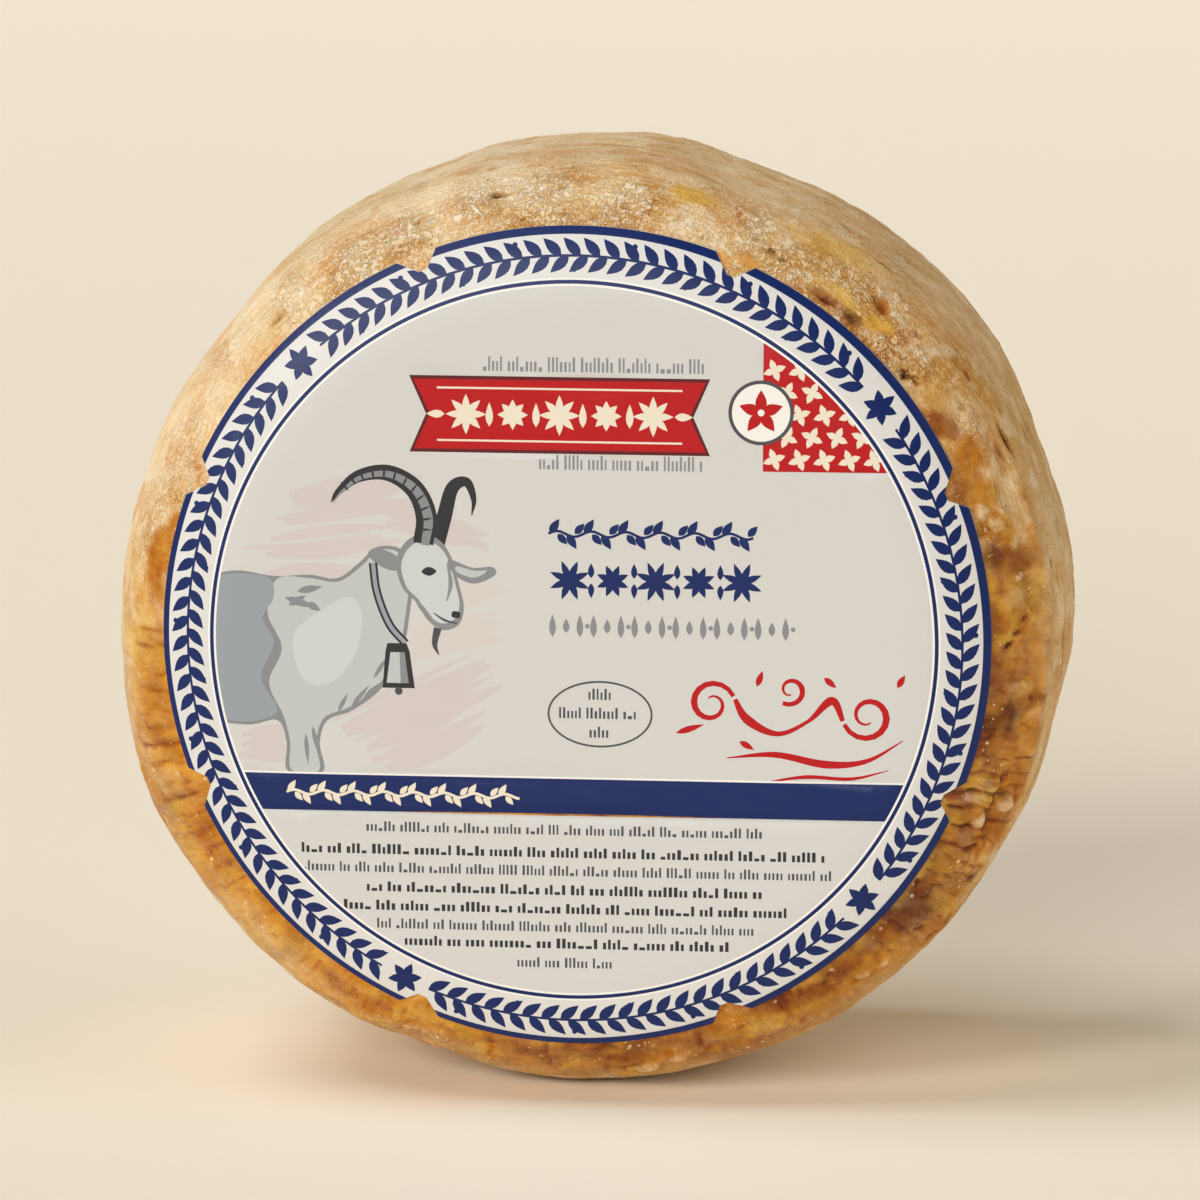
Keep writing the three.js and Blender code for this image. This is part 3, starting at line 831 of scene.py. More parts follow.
def rindMaterial():
    # Natural rind of a pressed goat's cheese: washed, dried and dusted with flour-like mould, so
    # it is matt and pale at the top, and waxy, golden and a little glossy where it stayed moist.
    material = newMaterial("natural cheese rind")
    place = addNode(material, "ShaderNodeTexCoord").outputs["Object"]
    painted, waxy, crumbly, grain = (
        addNode(material, "ShaderNodeAttribute", attribute_name=name)
        for name in ("rindColour", "waxy", "crumbly", "grain")
    )

    # Grit of about 0.7 mm, and crooked ridges about 0.8 mm apart with a brown crevice beside each,
    # which in the colour is painted shade, with a painted highlight on the ridge.
    grit = addNode(material, "ShaderNodeTexNoise", {
        "Vector": place, "Scale": 1400, "Detail": 3, "Roughness": 0.6,
    })
    crooked = addNode(material, "ShaderNodeTexNoise", {
        "Vector": place, "Scale": 900, "Detail": 1.5, "Roughness": 0.5, "Distortion": 0.8,
    })
    ridges = addNode(material, "ShaderNodeValToRGB", {"Fac": crooked.outputs["Fac"]})
    ramp = ridges.color_ramp
    ramp.elements[0].position, ramp.elements[1].position = 0.38, 0.68
    ramp.elements[0].color = ramp.elements[1].color = (0.5, 0.5, 0.5, 1)
    for spot, grey in ((0.44, 0.12), (0.48, 0.14), (0.54, 0.84), (0.60, 0.70)):
        ramp.elements.new(spot).color = (grey, grey, grey, 1)
    flat = addNode(material, "ShaderNodeMath", {0: ridges.outputs["Color"], 1: 0.5}, operation="SUBTRACT")
    worm = addNode(material, "ShaderNodeMath", {0: flat.outputs[0], 1: crumbly.outputs["Fac"]},
                   operation="MULTIPLY")

    # Lines round the rim where it is dry, and across the shoulder where it is waxy.
    lines = []
    for stretch in ((0.16, 0.16, 1.3), (1.1, 1.1, 0.15)):
        run = addNode(material, "ShaderNodeVectorMath", {0: grain.outputs["Vector"], 1: stretch},
                      operation="MULTIPLY")
        noise = addNode(material, "ShaderNodeTexNoise", {"Vector": run.outputs[0], "Scale": 1, "Detail": 2})
        lines.append(noise)
    streak = addNode(material, "ShaderNodeMix", {
        "Factor": waxy.outputs["Fac"], 2: lines[0].outputs["Fac"], 3: lines[1].outputs["Fac"],
    }, data_type="FLOAT")
    both = addNode(material, "ShaderNodeMath", {0: grit.outputs["Fac"], 1: streak.outputs[0]},
                   operation="ADD")
    dryness = addNode(material, "ShaderNodeMapRange", {
        "Value": waxy.outputs["Fac"], "To Min": 0.75, "To Max": 0.35,
    })
    centred = addNode(material, "ShaderNodeMath", {0: both.outputs[0], 1: 1.0}, operation="SUBTRACT")
    fine = addNode(material, "ShaderNodeMath", {0: centred.outputs[0], 1: dryness.outputs[0]},
                   operation="MULTIPLY")
    relief = addNode(material, "ShaderNodeMath", {0: worm.outputs[0], 1: 1.15, 2: fine.outputs[0]},
                     operation="MULTIPLY_ADD")

    # A power of the colour by the relief: painted shade in the hollows, darker and richer, and
    # painted highlight on the ridges.
    power = addNode(material, "ShaderNodeMapRange", {
        "Value": relief.outputs[0], "From Min": -0.4, "From Max": 0.4, "To Min": 1.65, "To Max": 0.52,
    })
    layer = addNode(material, "ShaderNodeGamma", {
        "Color": painted.outputs["Color"], "Gamma": power.outputs[0],
    }).outputs["Color"]

    # Amber depths and creamy clouds of 3 to 5 mm in the wax.
    for scale, low, high, tint, amount in (
        (150, 0.42, 0.72, "803C00", 0.42), (190, 0.46, 0.76, "E2A63E", 0.40),
    ):
        cloud = addNode(material, "ShaderNodeTexNoise", {"Vector": place, "Scale": scale, "Detail": 1})
        share = addNode(material, "ShaderNodeMapRange", {
            "Value": cloud.outputs["Fac"], "From Min": low, "From Max": high, "To Min": 0.0, "To Max": amount,
        })
        factor = addNode(material, "ShaderNodeMath", {0: share.outputs[0], 1: waxy.outputs["Fac"]},
                         operation="MULTIPLY")
        mixed = addNode(material, "ShaderNodeMix", {
            "Factor": factor.outputs[0], 6: layer, 7: rgba(tint),
        }, data_type="RGBA")
        layer = mixed.outputs["Result"]

    # Pale flecks 0.7 mm across and finer ones in clusters on the wax, partly crumbs and partly
    # painted glints, and rare dark specks.
    clusters = addNode(material, "ShaderNodeTexNoise", {"Vector": place, "Scale": 130, "Detail": 1})
    gathered = addNode(material, "ShaderNodeMapRange", {
        "Value": clusters.outputs["Fac"], "From Min": 0.50, "From Max": 0.64,
    })
    onWax = addNode(material, "ShaderNodeMath", {0: gathered.outputs[0], 1: waxy.outputs["Fac"]},
                    operation="MULTIPLY")
    for scale, limit, share, tint, amount, masked in (
        (430, 0.22, 0.50, "F0D9A8", 0.85, True), (900, 0.24, 0.62, "F3E0B6", 0.8, True),
        (380, 0.12, 0.72, "5A3012", 0.8, False),
    ):
        dots = addNode(material, "ShaderNodeTexVoronoi", {"Vector": place, "Scale": scale})
        spot = addNode(material, "ShaderNodeMapRange", {
            "Value": dots.outputs["Distance"], "From Min": limit * 0.6, "From Max": limit,
            "To Min": amount, "To Max": 0.0,
        })
        chosen = addNode(material, "ShaderNodeMath", {0: dots.outputs["Color"], 1: share},
                         operation="GREATER_THAN")
        factor = addNode(material, "ShaderNodeMath", {0: spot.outputs[0], 1: chosen.outputs[0]},
                         operation="MULTIPLY")
        if masked:
            factor = addNode(material, "ShaderNodeMath", {0: factor.outputs[0], 1: onWax.outputs[0]},
                             operation="MULTIPLY")
        mixed = addNode(material, "ShaderNodeMix", {
            "Factor": factor.outputs[0], 6: layer, 7: rgba(tint),
        }, data_type="RGBA")
        layer = mixed.outputs["Result"]

    gloss = addNode(material, "ShaderNodeMapRange", {
        "Value": waxy.outputs["Fac"], "To Min": 0.66, "To Max": 0.08,
    })
    rough = addNode(material, "ShaderNodeMath", {0: grit.outputs["Fac"], 1: 0.3, 2: gloss.outputs[0]},
                    operation="MULTIPLY_ADD")
    beads = addNode(material, "ShaderNodeTexNoise", {"Vector": place, "Scale": 420, "Detail": 1})
    waxBeads = addNode(material, "ShaderNodeMath", {0: beads.outputs["Fac"], 1: waxy.outputs["Fac"]},
                       operation="MULTIPLY")
    heights = addNode(material, "ShaderNodeMath", {0: waxBeads.outputs[0], 1: 0.9, 2: relief.outputs[0]},
                      operation="MULTIPLY_ADD")
    bump = addNode(material, "ShaderNodeBump", {
        "Height": heights.outputs[0], "Strength": 1.0, "Distance": 0.0005,
    })
    shader = addNode(material, "ShaderNodeBsdfPrincipled", {
        "Base Color": layer,
        "Roughness": rough.outputs[0],
        "Normal": bump.outputs["Normal"],
        "IOR": 1.45,
        "Specular IOR Level": 0.28,
        "Subsurface Weight": 0.10,
        "Subsurface Radius": (1.0, 0.55, 0.25),
        "Subsurface Scale": 0.0012,
    })
    addNode(material, "ShaderNodeOutputMaterial", {"Surface": shader.outputs["BSDF"]})
    return material


def joinRings(first, second, columns):
    # Two rings of the same number of points make two triangles for each column.
    here = np.arange(columns)
    following = (here + 1) % columns
    a, b = first + here, first + following
    c, d = second + here, second + following
    return np.concatenate([np.stack([a, c, b], -1), np.stack([b, c, d], -1)])


def halveRings(first, second, columns):
    # From a ring of `columns` points to one of half as many: three triangles for each coarse step.
    here = np.arange(columns // 2)
    a, b, c = first + 2 * here, first + 2 * here + 1, first + (2 * here + 2) % columns
    d, e = second + here, second + (here + 1) % (columns // 2)
    return np.concatenate([np.stack(t, -1) for t in ((a, d, b), (b, d, e), (b, e, c))])


def makeRind():
    # Rings round the axis from the front's middle to the back's middle. Every second column stops
    # at the middle of the rim.
    steps = rind["columns"]
    fine = np.linspace(0, 360, 3601)
    weight = 1 + rind["denseGain"] * np.exp(-((turnFrom(fine, rind["denseAt"]) / rind["denseSpread"]) ** 2))
    spent = np.concatenate([[0], np.cumsum((weight[1:] + weight[:-1]) / 2)])
    turns = np.interp(np.arange(steps) / steps * spent[-1], spent, fine)
    front = np.concatenate([
        rind["frontRings"],
        np.arange(rind["fineStart"], rind["fineEnd"], rind["fineStep"]),
        np.arange(rind["fineEnd"], rind["rimEnd"], rind["rimStep"]),
    ])
    back = np.concatenate([
        np.arange(rind["rimEnd"], rind["backFaceAt"], rind["backStep"]),
        np.arange(rind["backFaceAt"], profileAcross[-1] - 1, rind["backFaceStep"]),
    ])
    frontTurn, frontAcross = (a.ravel() for a in np.meshgrid(turns, front))
    backTurn, backAcross = (a.ravel() for a in np.meshgrid(turns[::2], back))
    turn = np.concatenate([[0], frontTurn, backTurn, [0]])
    across = np.concatenate([[profileAcross[0]], frontAcross, backAcross, [profileAcross[-1]]])
    plain = wheelPoints(turn, across, 0)
    height, masks = rindRelief(turn, across, plain)
    points = wheelPoints(turn, across, height)
    points[:, 2] = np.maximum(points[:, 2], 0)

    triangles = []
    starts = 1 + steps * np.arange(len(front))
    for first, second in zip(starts[:-1], starts[1:]):
        triangles.append(joinRings(first, second, steps))
    half = steps // 2
    backStarts = starts[-1] + steps + half * np.arange(len(back))
    triangles.append(halveRings(starts[-1], backStarts[0], steps))
    for first, second in zip(backStarts[:-1], backStarts[1:]):
        triangles.append(joinRings(first, second, half))
    here = np.arange(steps)
    triangles.append(np.stack([0 * here, 1 + here, 1 + (here + 1) % steps], -1))
    here = np.arange(half)
    last = len(points) - 1
    inner = backStarts[-1]
    triangles.append(np.stack([0 * here + last, inner + (here + 1) % half, inner + here], -1))
    triangles = np.concatenate(triangles)
    made = makeObject("cheese_rind", points, triangles, [rindMaterial()])
    colours = rindColours(turn, across, plain, masks)
    colours = np.concatenate([colours, np.ones((len(points), 1))], 1)
    addAttribute(made, "rindColour", "FLOAT_COLOR", colours)
    addAttribute(made, "waxy", "FLOAT", masks["waxy"] * (1 - 0.7 * masks["pale"]))
    addAttribute(made, "crumbly", "FLOAT", masks["crumbly"])
    addAttribute(made, "grain", "FLOAT_VECTOR", masks["grain"])
    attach(made, "root")
    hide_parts("cheese_wheel")
    print("rind:", len(points), "points,", len(triangles), "triangles")
    return made


makeRind()


label = {
    "gap": 0.15,  # between the paper and the plain wheel
    "thickness": 0.3,
    "printShift": (-0.2, -0.15),  # the print sits a little off the middle of the die-cut paper
    "borderInner": 80.6,
    "ringOuter": 72.0,
    "ringInner": 71.25,
    "hairline": 0.4,
    "field": 70.8,
    "garlandRadius": 76.6,
    "rosetteTurns": (38.3, 134.5, 243.9, 318.4),
    "waves": ((17, 0.05), (7, 0.025)),  # the paper's slight waviness: size and height in mm
    "rise": 0.05,  # added to the waviness, so that it stays clear of the cheese
    # Points that carry the paper over the face: a grid inside, then rings (from, to, step).
    "step": 3.4,
    "jitter": 0.4,
    "gridReach": 63,
    "rings": (64.5, 81.6, 1.4),
    "ringSpacing": 1.9,
    "weld": 1e-4,  # points closer than this become one
    "sharp": 50,  # degrees: the sheet's edge is sharper than this
}

# Printing inks and papers: colour and roughness.
inks = {
    "ring paper": ("D7D6D3", 0.42),
    "field tint": ("CDCCC9", 0.42),
    "white": ("EDEBE6", 0.42),
    "navy": ("04205C", 0.42),
    "red": ("B40209", 0.40),
    "dark red": ("5A1418", 0.40),
    "cream": ("E6DCC8", 0.42),
    "light grey": ("BCC0C0", 0.42),
    "pale grey": ("C7CBCC", 0.42),
    "blue grey": ("949BA3", 0.42),
    "mid grey": ("86888B", 0.42),
    "dark grey": ("4A4B50", 0.40),
    "black": ("2E2D31", 0.38),
    "rose": ("CCC3C2", 0.42),
    "rose light": ("D0C9C5", 0.42),
}


def arc(radius, start, end, centre=(0, 0), step=1.4):
    # Points round a circle from one direction to another, about `step` mm apart.
    count = max(8, int(abs(math.radians(end - start)) * radius / step) + 1)
    angle = np.radians(np.linspace(start, end, count))
    return np.stack([centre[0] + radius * np.cos(angle), centre[1] + radius * np.sin(angle)], -1)


def disc(radius, centre=(0, 0), step=1.4):
    # A full circle, without the point where it closes.
    return arc(radius, 0, 360, centre, step)[:-1]


def smoothPath(points, perSpan=6, closed=False):
    # A Catmull-Rom curve through the points.
    p = np.asarray(points, float)
    ends = (p[-1:], p[:1], p[1:2]) if closed else (2 * p[:1] - p[1:2], 2 * p[-1:] - p[-2:-1], None)
    p = np.concatenate([ends[0], p, ends[1]] + ([ends[2]] if closed else []))
    t = np.linspace(0, 1, perSpan, endpoint=False)[:, None, None]
    a, b, c, d = p[:-3], p[1:-2], p[2:-1], p[3:]
    curve = 0.5 * (2 * b + (c - a) * t + (2 * a - 5 * b + 4 * c - d) * t**2 + (3 * b - a - 3 * c + d) * t**3)
    curve = curve.transpose(1, 0, 2).reshape(-1, 2)
    return curve if closed else np.concatenate([curve, p[-2:-1]])


def stroke(path, widths):
    # A line with a changing width: the path, moved to each side by half the width along its normal.
    path = np.asarray(path, float)
    widths = np.interp(np.linspace(0, 1, len(path)), np.linspace(0, 1, len(widths)), widths)
    along = np.gradient(path, axis=0)
    normal = np.stack([-along[:, 1], along[:, 0]], -1) / np.linalg.norm(along, axis=1)[:, None]
    side = normal * widths[:, None] / 2
    return np.concatenate([path + side, (path - side)[::-1]])


def ringBand(inner, outer):
    # A flat ring, as six sectors that share their ends.
    ends = np.linspace(0, 360, 7)
    return [
        np.concatenate([arc(outer, a, b), arc(inner, a, b)[::-1]])
        for a, b in zip(ends[:-1], ends[1:])
    ]


def leaf(x, z, length, width, turn):
    # A pointed oval that starts at (x, z): its half width is sin(pi t^0.8) along its length.
    t = np.linspace(0, 1, 6)
    half = width / 2 * np.sin(math.pi * t**0.8)
    upper = np.stack([t * length, half], -1)
    lower = np.stack([t * length, -half], -1)[-2:0:-1]
    c, s = math.cos(math.radians(turn)), math.sin(math.radians(turn))
    return np.concatenate([upper, lower]) @ np.array([[c, s], [-s, c]]) + (x, z)


def flower(x, z, radius, petals, width, turn=0):
    # Leaves that start at one point, at equal angles.
    return [leaf(x, z, radius, width, turn + 360 * i / petals) for i in range(petals)]


def box(x0, z0, x1, z1):
    # An upright rectangle between two opposite corners.
    return np.array([(x0, z0), (x1, z0), (x1, z1), (x0, z1)], float)


def counterClockwise(points):
    # The same outline with its inside on the left, by the sign of its area.
    x, z = points[:, 0], points[:, 1]
    return points if (x * np.roll(z, -1) - np.roll(x, -1) * z).sum() > 0 else points[::-1]


def capRow(x0, x1, z, height, random, bold=False):
    # A row of small plain marks in groups, in place of fine print: uprights, short ones and dots.
    marks = []
    x = x0
    group = random.integers(3, 9)
    while x < x1:
        width = (0.62 if bold else 0.42) * random.uniform(0.85, 1.2)
        kind = random.integers(0, 10)
        tall = height * (1.0 if kind < 3 else 0.68)
        if kind == 9:
            marks.append(box(x, z, x + width * 1.7, z + height * 0.3))
            x += width * 1.7
        else:
            marks.append(box(x, z, x + width, z + tall))
            x += width
        x += 0.38
        group -= 1
        if group == 0:
            group = random.integers(3, 9)
            x += 0.75
    return marks


def garland(start, end):
    # A laurel branch round the ring: pairs of leaves on a thin stem, with a berry now and then.
    radius = label["garlandRadius"]
    shapes = [stroke(arc(radius, start, end, step=1.2), (0.5, 0.5))]
    count = int(math.radians(end - start) * radius / 3.8)
    for i, turn in enumerate(np.linspace(start + 0.5, end - 2.4, count)):
        for side in (-1, 1):
            at = math.radians(turn + (0.55 if side > 0 else -0.55))
            x, z = radius * math.cos(at), radius * math.sin(at)
            shapes.append(leaf(x, z, 4.9, 2.15, math.degrees(at) + 90 - side * 42))
        if i % 3 == 1:
            at = math.radians(turn + 1.5)
            side = 2.6 if i % 2 else -2.6
            shapes.append(disc(0.55, ((radius + side) * math.cos(at), (radius + side) * math.sin(at)), 0.5))
    return shapes


def vine(x0, x1, z, height, pitch, width):
    # A stem that waves along a line, with leaves above and below by turns.
    x = np.linspace(x0, x1, int((x1 - x0) / 0.8))
    swing = 0.10 * height * np.sin((x - x0) * math.pi / pitch)
    shapes = [stroke(np.stack([x, z + height / 2 + swing], -1), (0.55, 0.55))]
    for i, at in enumerate(np.arange(x0 + 0.3, x1 - 1.5, pitch)):
        up = 1 if i % 2 == 0 else -1
        shapes.append(leaf(at, z + height / 2, height * 0.62, width, up * 58))
        shapes.append(leaf(at + pitch * 0.45, z + height / 2, height * 0.5, width * 0.9, -up * 48))
    return shapes


def blossomRow(x0, x1, z, height, count):
    # Open flowers of eight thin petals, with a small leaf above and below between each pair.
    shapes = []
    middle = z + height / 2
    spread = (x1 - x0 - height) / (count - 1)
    for i in range(count):
        x = x0 + height / 2 + i * spread
        radius = height * (0.5 if i % 2 == 0 else 0.4)
        shapes += flower(x, middle, radius, 8, height * 0.17, 22.5)
        shapes.append(disc(height * 0.09, (x, middle), 0.4))
        if i < count - 1:
            between = x + spread / 2
            for side in (-1, 1):
                shapes.append(leaf(between, middle + side * 0.5, height * 0.36, height * 0.15, side * 90))
    return shapes


def lozengeRow(x0, x1, z, height, pitch):
    # Upright leaves at an even pitch, every third one short, with a dot after every third.
    shapes = []
    for i, x in enumerate(np.arange(x0, x1 - pitch * 0.5, pitch)):
        tall = height if i % 3 != 1 else height * 0.62
        shapes.append(leaf(x + pitch * 0.3, z + (height - tall) / 2, tall, pitch * 0.5, 90))
        if i % 3 == 2:
            shapes.append(disc(0.5, (x + pitch * 0.85, z + height / 2), 0.4))
    return shapes


def brushMark(x0, z0, x1, z1, width, random):
    # A dry brush stroke: one broad stroke with several thin ones beside it, each a little off.
    shapes = []
    along = np.array([x1 - x0, z1 - z0])
    across = np.array([-along[1], along[0]]) / np.linalg.norm(along)
    for i in range(5):
        offset = across * random.uniform(-0.5, 0.5) * width
        begin = np.array([x0, z0]) + offset + along * random.uniform(-0.08, 0.10)
        finish = np.array([x1, z1]) + offset + along * random.uniform(-0.12, 0.06)
        middle = (begin + finish) / 2 + across * random.uniform(-1.5, 1.5)
        wide = width * random.uniform(0.15, 0.5)
        path = smoothPath([begin, middle, finish], 8)
        shapes.append(stroke(path, (wide * 0.3, wide, wide * 0.8, wide * 0.2)))
    return shapes


def area(ink, perSpan, *points):
    # A closed smooth outline filled with an ink.
    return ink, smoothPath(points, perSpan, closed=True)


def line(ink, widths, perSpan, *points):
    # A smooth line of changing width in an ink.
    return ink, stroke(smoothPath(points, perSpan), widths)


def goat():
    # A plain goat seen from the side, walking in from the left edge, with swept-back horns.
    shapes = [
        ("mid grey", smoothPath([
            (-72, 12.4), (-66, 13.4), (-59, 12.4), (-52, 12.8), (-46.5, 12.2), (-42, 15.5), (-38.5, 18.6),
            (-33.5, 18.0), (-31.6, 12), (-32.2, 5.0), (-33.6, -2.0), (-37.5, -9.4), (-43.5, -14.2),
            (-48.6, -16.4), (-50.2, -21), (-49.6, -26.8), (-56.6, -26.8), (-56.8, -21), (-58.6, -16.6),
            (-64, -17.6), (-72, -17.2),
        ])),
        area("light grey", 6,
             (-58.5, 11.8), (-52, 12.1), (-46.3, 11.5), (-41.6, 14.8), (-38.3, 17.9), (-34.2, 17.4),
             (-32.4, 12), (-33.0, 5.0), (-34.4, -1.8), (-38.2, -8.8), (-44, -13.5), (-49.3, -15.9),
             (-50.9, -21), (-50.4, -26.6), (-55.9, -26.6), (-56.1, -21), (-57.4, -15.6), (-60.2, -9),
             (-57.6, -2), (-60.4, 5)),
        ("blue grey", smoothPath([
            (-72, 11.8), (-66, 12.8), (-60, 11.9), (-59.2, 8), (-61.4, 4), (-59.2, -1), (-61.8, -8),
            (-58.6, -14.6), (-64, -16.9), (-72, -16.5),
        ])),
    ]
    for x, z, long, wide, turn in (
        (-57, 8.2, 6.5, 1.5, -18), (-54.5, 9.4, 5.2, 1.5, 12), (-56.2, 6.6, 4.0, 1.5, 30),
        (-52.6, 7.2, 3.2, 1.5, -30), (-41.5, -11.8, 5.0, 0.9, 42), (-43.8, -13.4, 5.6, 0.9, 50),
        (-46.5, -14.6, 4.2, 0.9, 62), (-53, -19, 6.5, 0.9, -86), (-51.6, -17.6, 5.0, 0.9, -80),
        (-39.4, -7.8, 5.4, 0.9, 58), (-37.0, -4.8, 4.4, 0.9, 66),
    ):
        shapes.append(("mid grey", leaf(x, z, long, wide, turn)))

    # The light flank, the far horn, the far ear, the head, the near ear and the near horn.
    head = area("mid grey", 6,
                (-34.8, 15.5), (-33.0, 19.6), (-29.4, 21.4), (-25.8, 19.8), (-23.6, 16.2), (-22.4, 11.5),
                (-21.4, 7.0), (-22.4, 3.4), (-25.6, 2.2), (-28.6, 4.2), (-30.8, 7.6), (-33.6, 10.6))
    middle = np.array([-27.6, 11.8])
    horn = smoothPath([
        (-29.4, 19.4), (-28.8, 25.0), (-31.2, 30.4), (-36.4, 33.4), (-42.2, 32.6), (-46.2, 29.4),
        (-47.6, 27.4),
    ], 8)
    shapes += [
        area("pale grey", 5, (-55.4, 0.5), (-50, 5.5), (-44, 8.5), (-41.5, 4), (-43.6, -4), (-48.4, -9),
             (-53.6, -8)),
        line("black", (3.4, 3.0, 2.6, 1.9, 1.1, 0.2), 6, (-26.8, 19.6), (-25.2, 25.0), (-23.6, 30.6),
             (-20.8, 31.8), (-19.4, 28.4), (-19.8, 25.2)),
        area("mid grey", 5, (-34.4, 16.6), (-38.5, 18.4), (-40.4, 17.0), (-37.6, 14.6), (-34.6, 14.0)),
        head,
        ("pale grey", (head[1] - middle) * 0.86 + middle),
        area("mid grey", 5, (-24.4, 16.4), (-19.8, 14.8), (-15.8, 15.0), (-15.2, 13.4), (-19.4, 11.6),
             (-23.4, 13.4)),
        area("light grey", 5, (-22.8, 15.0), (-19.4, 14.2), (-16.8, 14.2), (-19.4, 12.8), (-22.6, 13.8)),
        ("black", stroke(horn, (4.0, 4.2, 3.8, 3.2, 2.4, 1.3, 0.2))),
        ("mid grey", stroke(horn + (0.35, -0.3), (1.6, 1.9, 1.7, 1.3, 0.9, 0.4, 0.1))),
    ]
    for here in horn[4:40:3]:
        away = here - np.array([-37.5, 22.5])
        turn = math.degrees(math.atan2(away[1], away[0]))
        shapes.append(("black", leaf(*(here - 1.3 * away / np.linalg.norm(away)), 2.6, 0.45, turn)))

    # The eye, the nose, the mouth, the cheek, the beard and the jaw, then the collar and the bell.
    collar = smoothPath([(-39.4, 15.4), (-38.6, 9.5), (-36.2, 3.2), (-33.0, -0.6)], 8)
    return shapes + [
        area("black", 4, (-29.8, 13.8), (-28.4, 14.8), (-26.8, 14.0), (-28.2, 13.0)),
        area("black", 4, (-23.6, 6.0), (-22.2, 5.8), (-22.3, 4.7), (-23.8, 4.9)),
        line("dark grey", (0.3, 0.5, 0.2), 6, (-22.8, 3.6), (-25.2, 4.2), (-27.4, 5.6)),
        line("mid grey", (0.4, 0.9, 0.2), 6, (-24.6, 15.6), (-24.0, 11.5), (-24.8, 8.0)),
        line("dark grey", (1.6, 1.1, 0.2), 6, (-26.6, 2.6), (-27.2, -0.6), (-26.4, -2.8)),
        line("mid grey", (0.3, 1.0, 0.3), 6, (-31.5, 9.0), (-29.6, 6.4), (-27.8, 4.6)),
        ("black", stroke(collar, (1.7, 1.7, 1.7))),
        ("blue grey", stroke(collar, (0.8, 0.8, 0.8))),
        ("black", np.array(
            [(-36.6, -0.6), (-32.8, -0.6), (-32.2, -2.2), (-31.2, -9.6), (-37.6, -9.6), (-37.0, -2.2)])),
        ("light grey", np.array([(-36.0, -2.4), (-33.2, -2.4), (-32.4, -8.6), (-36.8, -8.6)])),
        ("mid grey", np.array([(-34.2, -2.4), (-33.2, -2.4), (-32.4, -8.6), (-34.0, -8.6)])),
        ("dark grey", disc(0.8, (-34.4, -10.2), 0.5)),
    ]


def flourish():
    # A pen scroll: two spirals joined by a long curve, with two swashes under it.
    def coil(x, z, radius, start, sweep, shrink):
        t = np.linspace(0, 1, 22)
        angle = np.radians(start + sweep * t)
        reach = radius * (1 - shrink * t)
        return np.stack([x + reach * np.cos(angle), z + reach * np.sin(angle)], -1)

    shapes = []
    left = coil(27.5, -11.6, 4.6, 20, 460, 0.72)
    right = coil(58.2, -13.6, 4.9, 200, 460, 0.72)
    joined = smoothPath([left[0], (34.5, -14.6), (40.5, -17.4), (46.5, -14.8), (51.2, -10.6), right[0]], 8)
    shapes.append(stroke(left, (0.9, 1.3, 0.8, 0.3)))
    shapes.append(stroke(joined[1:-1], (0.9, 1.9, 1.0, 0.7, 1.8, 0.9)))
    shapes.append(stroke(right, (0.9, 1.4, 0.8, 0.3)))
    small = coil(43.0, -8.6, 3.0, 240, 400, 0.7)
    shapes.append(stroke(small, (0.9, 1.1, 0.6, 0.3)))
    tail = smoothPath([(30.5, -22.4), (40, -21.6), (50, -23.4), (58, -22.6), (65.2, -18.4)], 8)
    shapes.append(stroke(tail, (0.2, 1.2, 1.6, 0.9, 0.2)))
    under = smoothPath([(37, -27.4), (46, -26.0), (55, -26.2), (62.4, -24.4)], 8)
    shapes.append(stroke(under, (0.15, 0.8, 0.7, 0.15)))
    for x, z, long, turn in ((20.4, -17.6, 6.0, 18), (36.4, -8.0, 3.4, 70), (49.6, -6.0, 3.2, -40),
                             (64.0, -7.8, 3.0, 60), (33.0, -19.0, 3.4, -30)):
        shapes.append(leaf(x, z, long, 1.3, turn))
    return shapes


def inked(ink, shapes):
    # The same ink for each of some shapes.
    return [(ink, shape) for shape in shapes]


def ribbonArt(random):
    # The red ribbon in the place of a name, with marks above and below.
    art = []
    ribbon = np.array([(-31.2, 38.4), (-28.0, 45.3), (-31.2, 52.2), (26.2, 52.2), (23.0, 45.3), (26.2, 38.4)])
    middle = ribbon.mean(0)
    art.append(("dark red", (ribbon - middle) * (1.03, 1.10) + middle))
    art.append(("red", ribbon))
    art.append(("cream", box(-26.6, 50.3, 21.6, 50.7)))
    art.append(("cream", box(-26.6, 39.9, 21.6, 40.3)))
    for i in range(-2, 3):
        x = -2.5 + 9.2 * i
        art += inked("cream", flower(x, 45.3, 4.0 if i % 2 == 0 else 3.0, 8, 1.5, 0))
        if i < 2:
            art.append(("cream", leaf(x + 4.6, 42.9, 4.8, 1.5, 90)))
    for side in (-1, 1):
        art.append(("cream", leaf(-2.5 + side * 22.6, 45.3, 3.6, 1.6, 90 - 90 * side)))
    art += inked("mid grey", capRow(-17.5, 25.8, 53.9, 2.9, random))
    art += inked("mid grey", capRow(-6.5, 25.8, 34.6, 2.9, random))
    return art


def cornerArt():
    # The red corner with its little flowers, inside the circle, and the round seal beside it.
    art = []
    edge = label["field"] + 1
    low, left = 34.8, 37.4
    start = math.degrees(math.atan2(low, math.sqrt(edge**2 - low**2)))
    end = math.degrees(math.atan2(math.sqrt(edge**2 - left**2), left))
    art.append(("red", np.concatenate([[(left, low)], arc(edge, start, end)])))
    for row in range(6):
        for column in range(6):
            x, z = 39.6 + 4.9 * column + 2.45 * (row % 2), 37.2 + 4.4 * row
            if math.hypot(x, z) < edge + 0.5:
                art += inked("cream", flower(x, z, 2.3, 4, 1.35, 45 * (row % 2) + 20))
    art += [
        ("dark grey", disc(6.4, (37, 46.4), 0.8)),
        ("white", disc(5.7, (37, 46.4), 0.8)),
    ]
    art += inked("red", flower(37, 46.4, 4.5, 5, 2.3, 90))
    art.append(("white", disc(0.7, (37, 46.4), 0.5)))
    return art


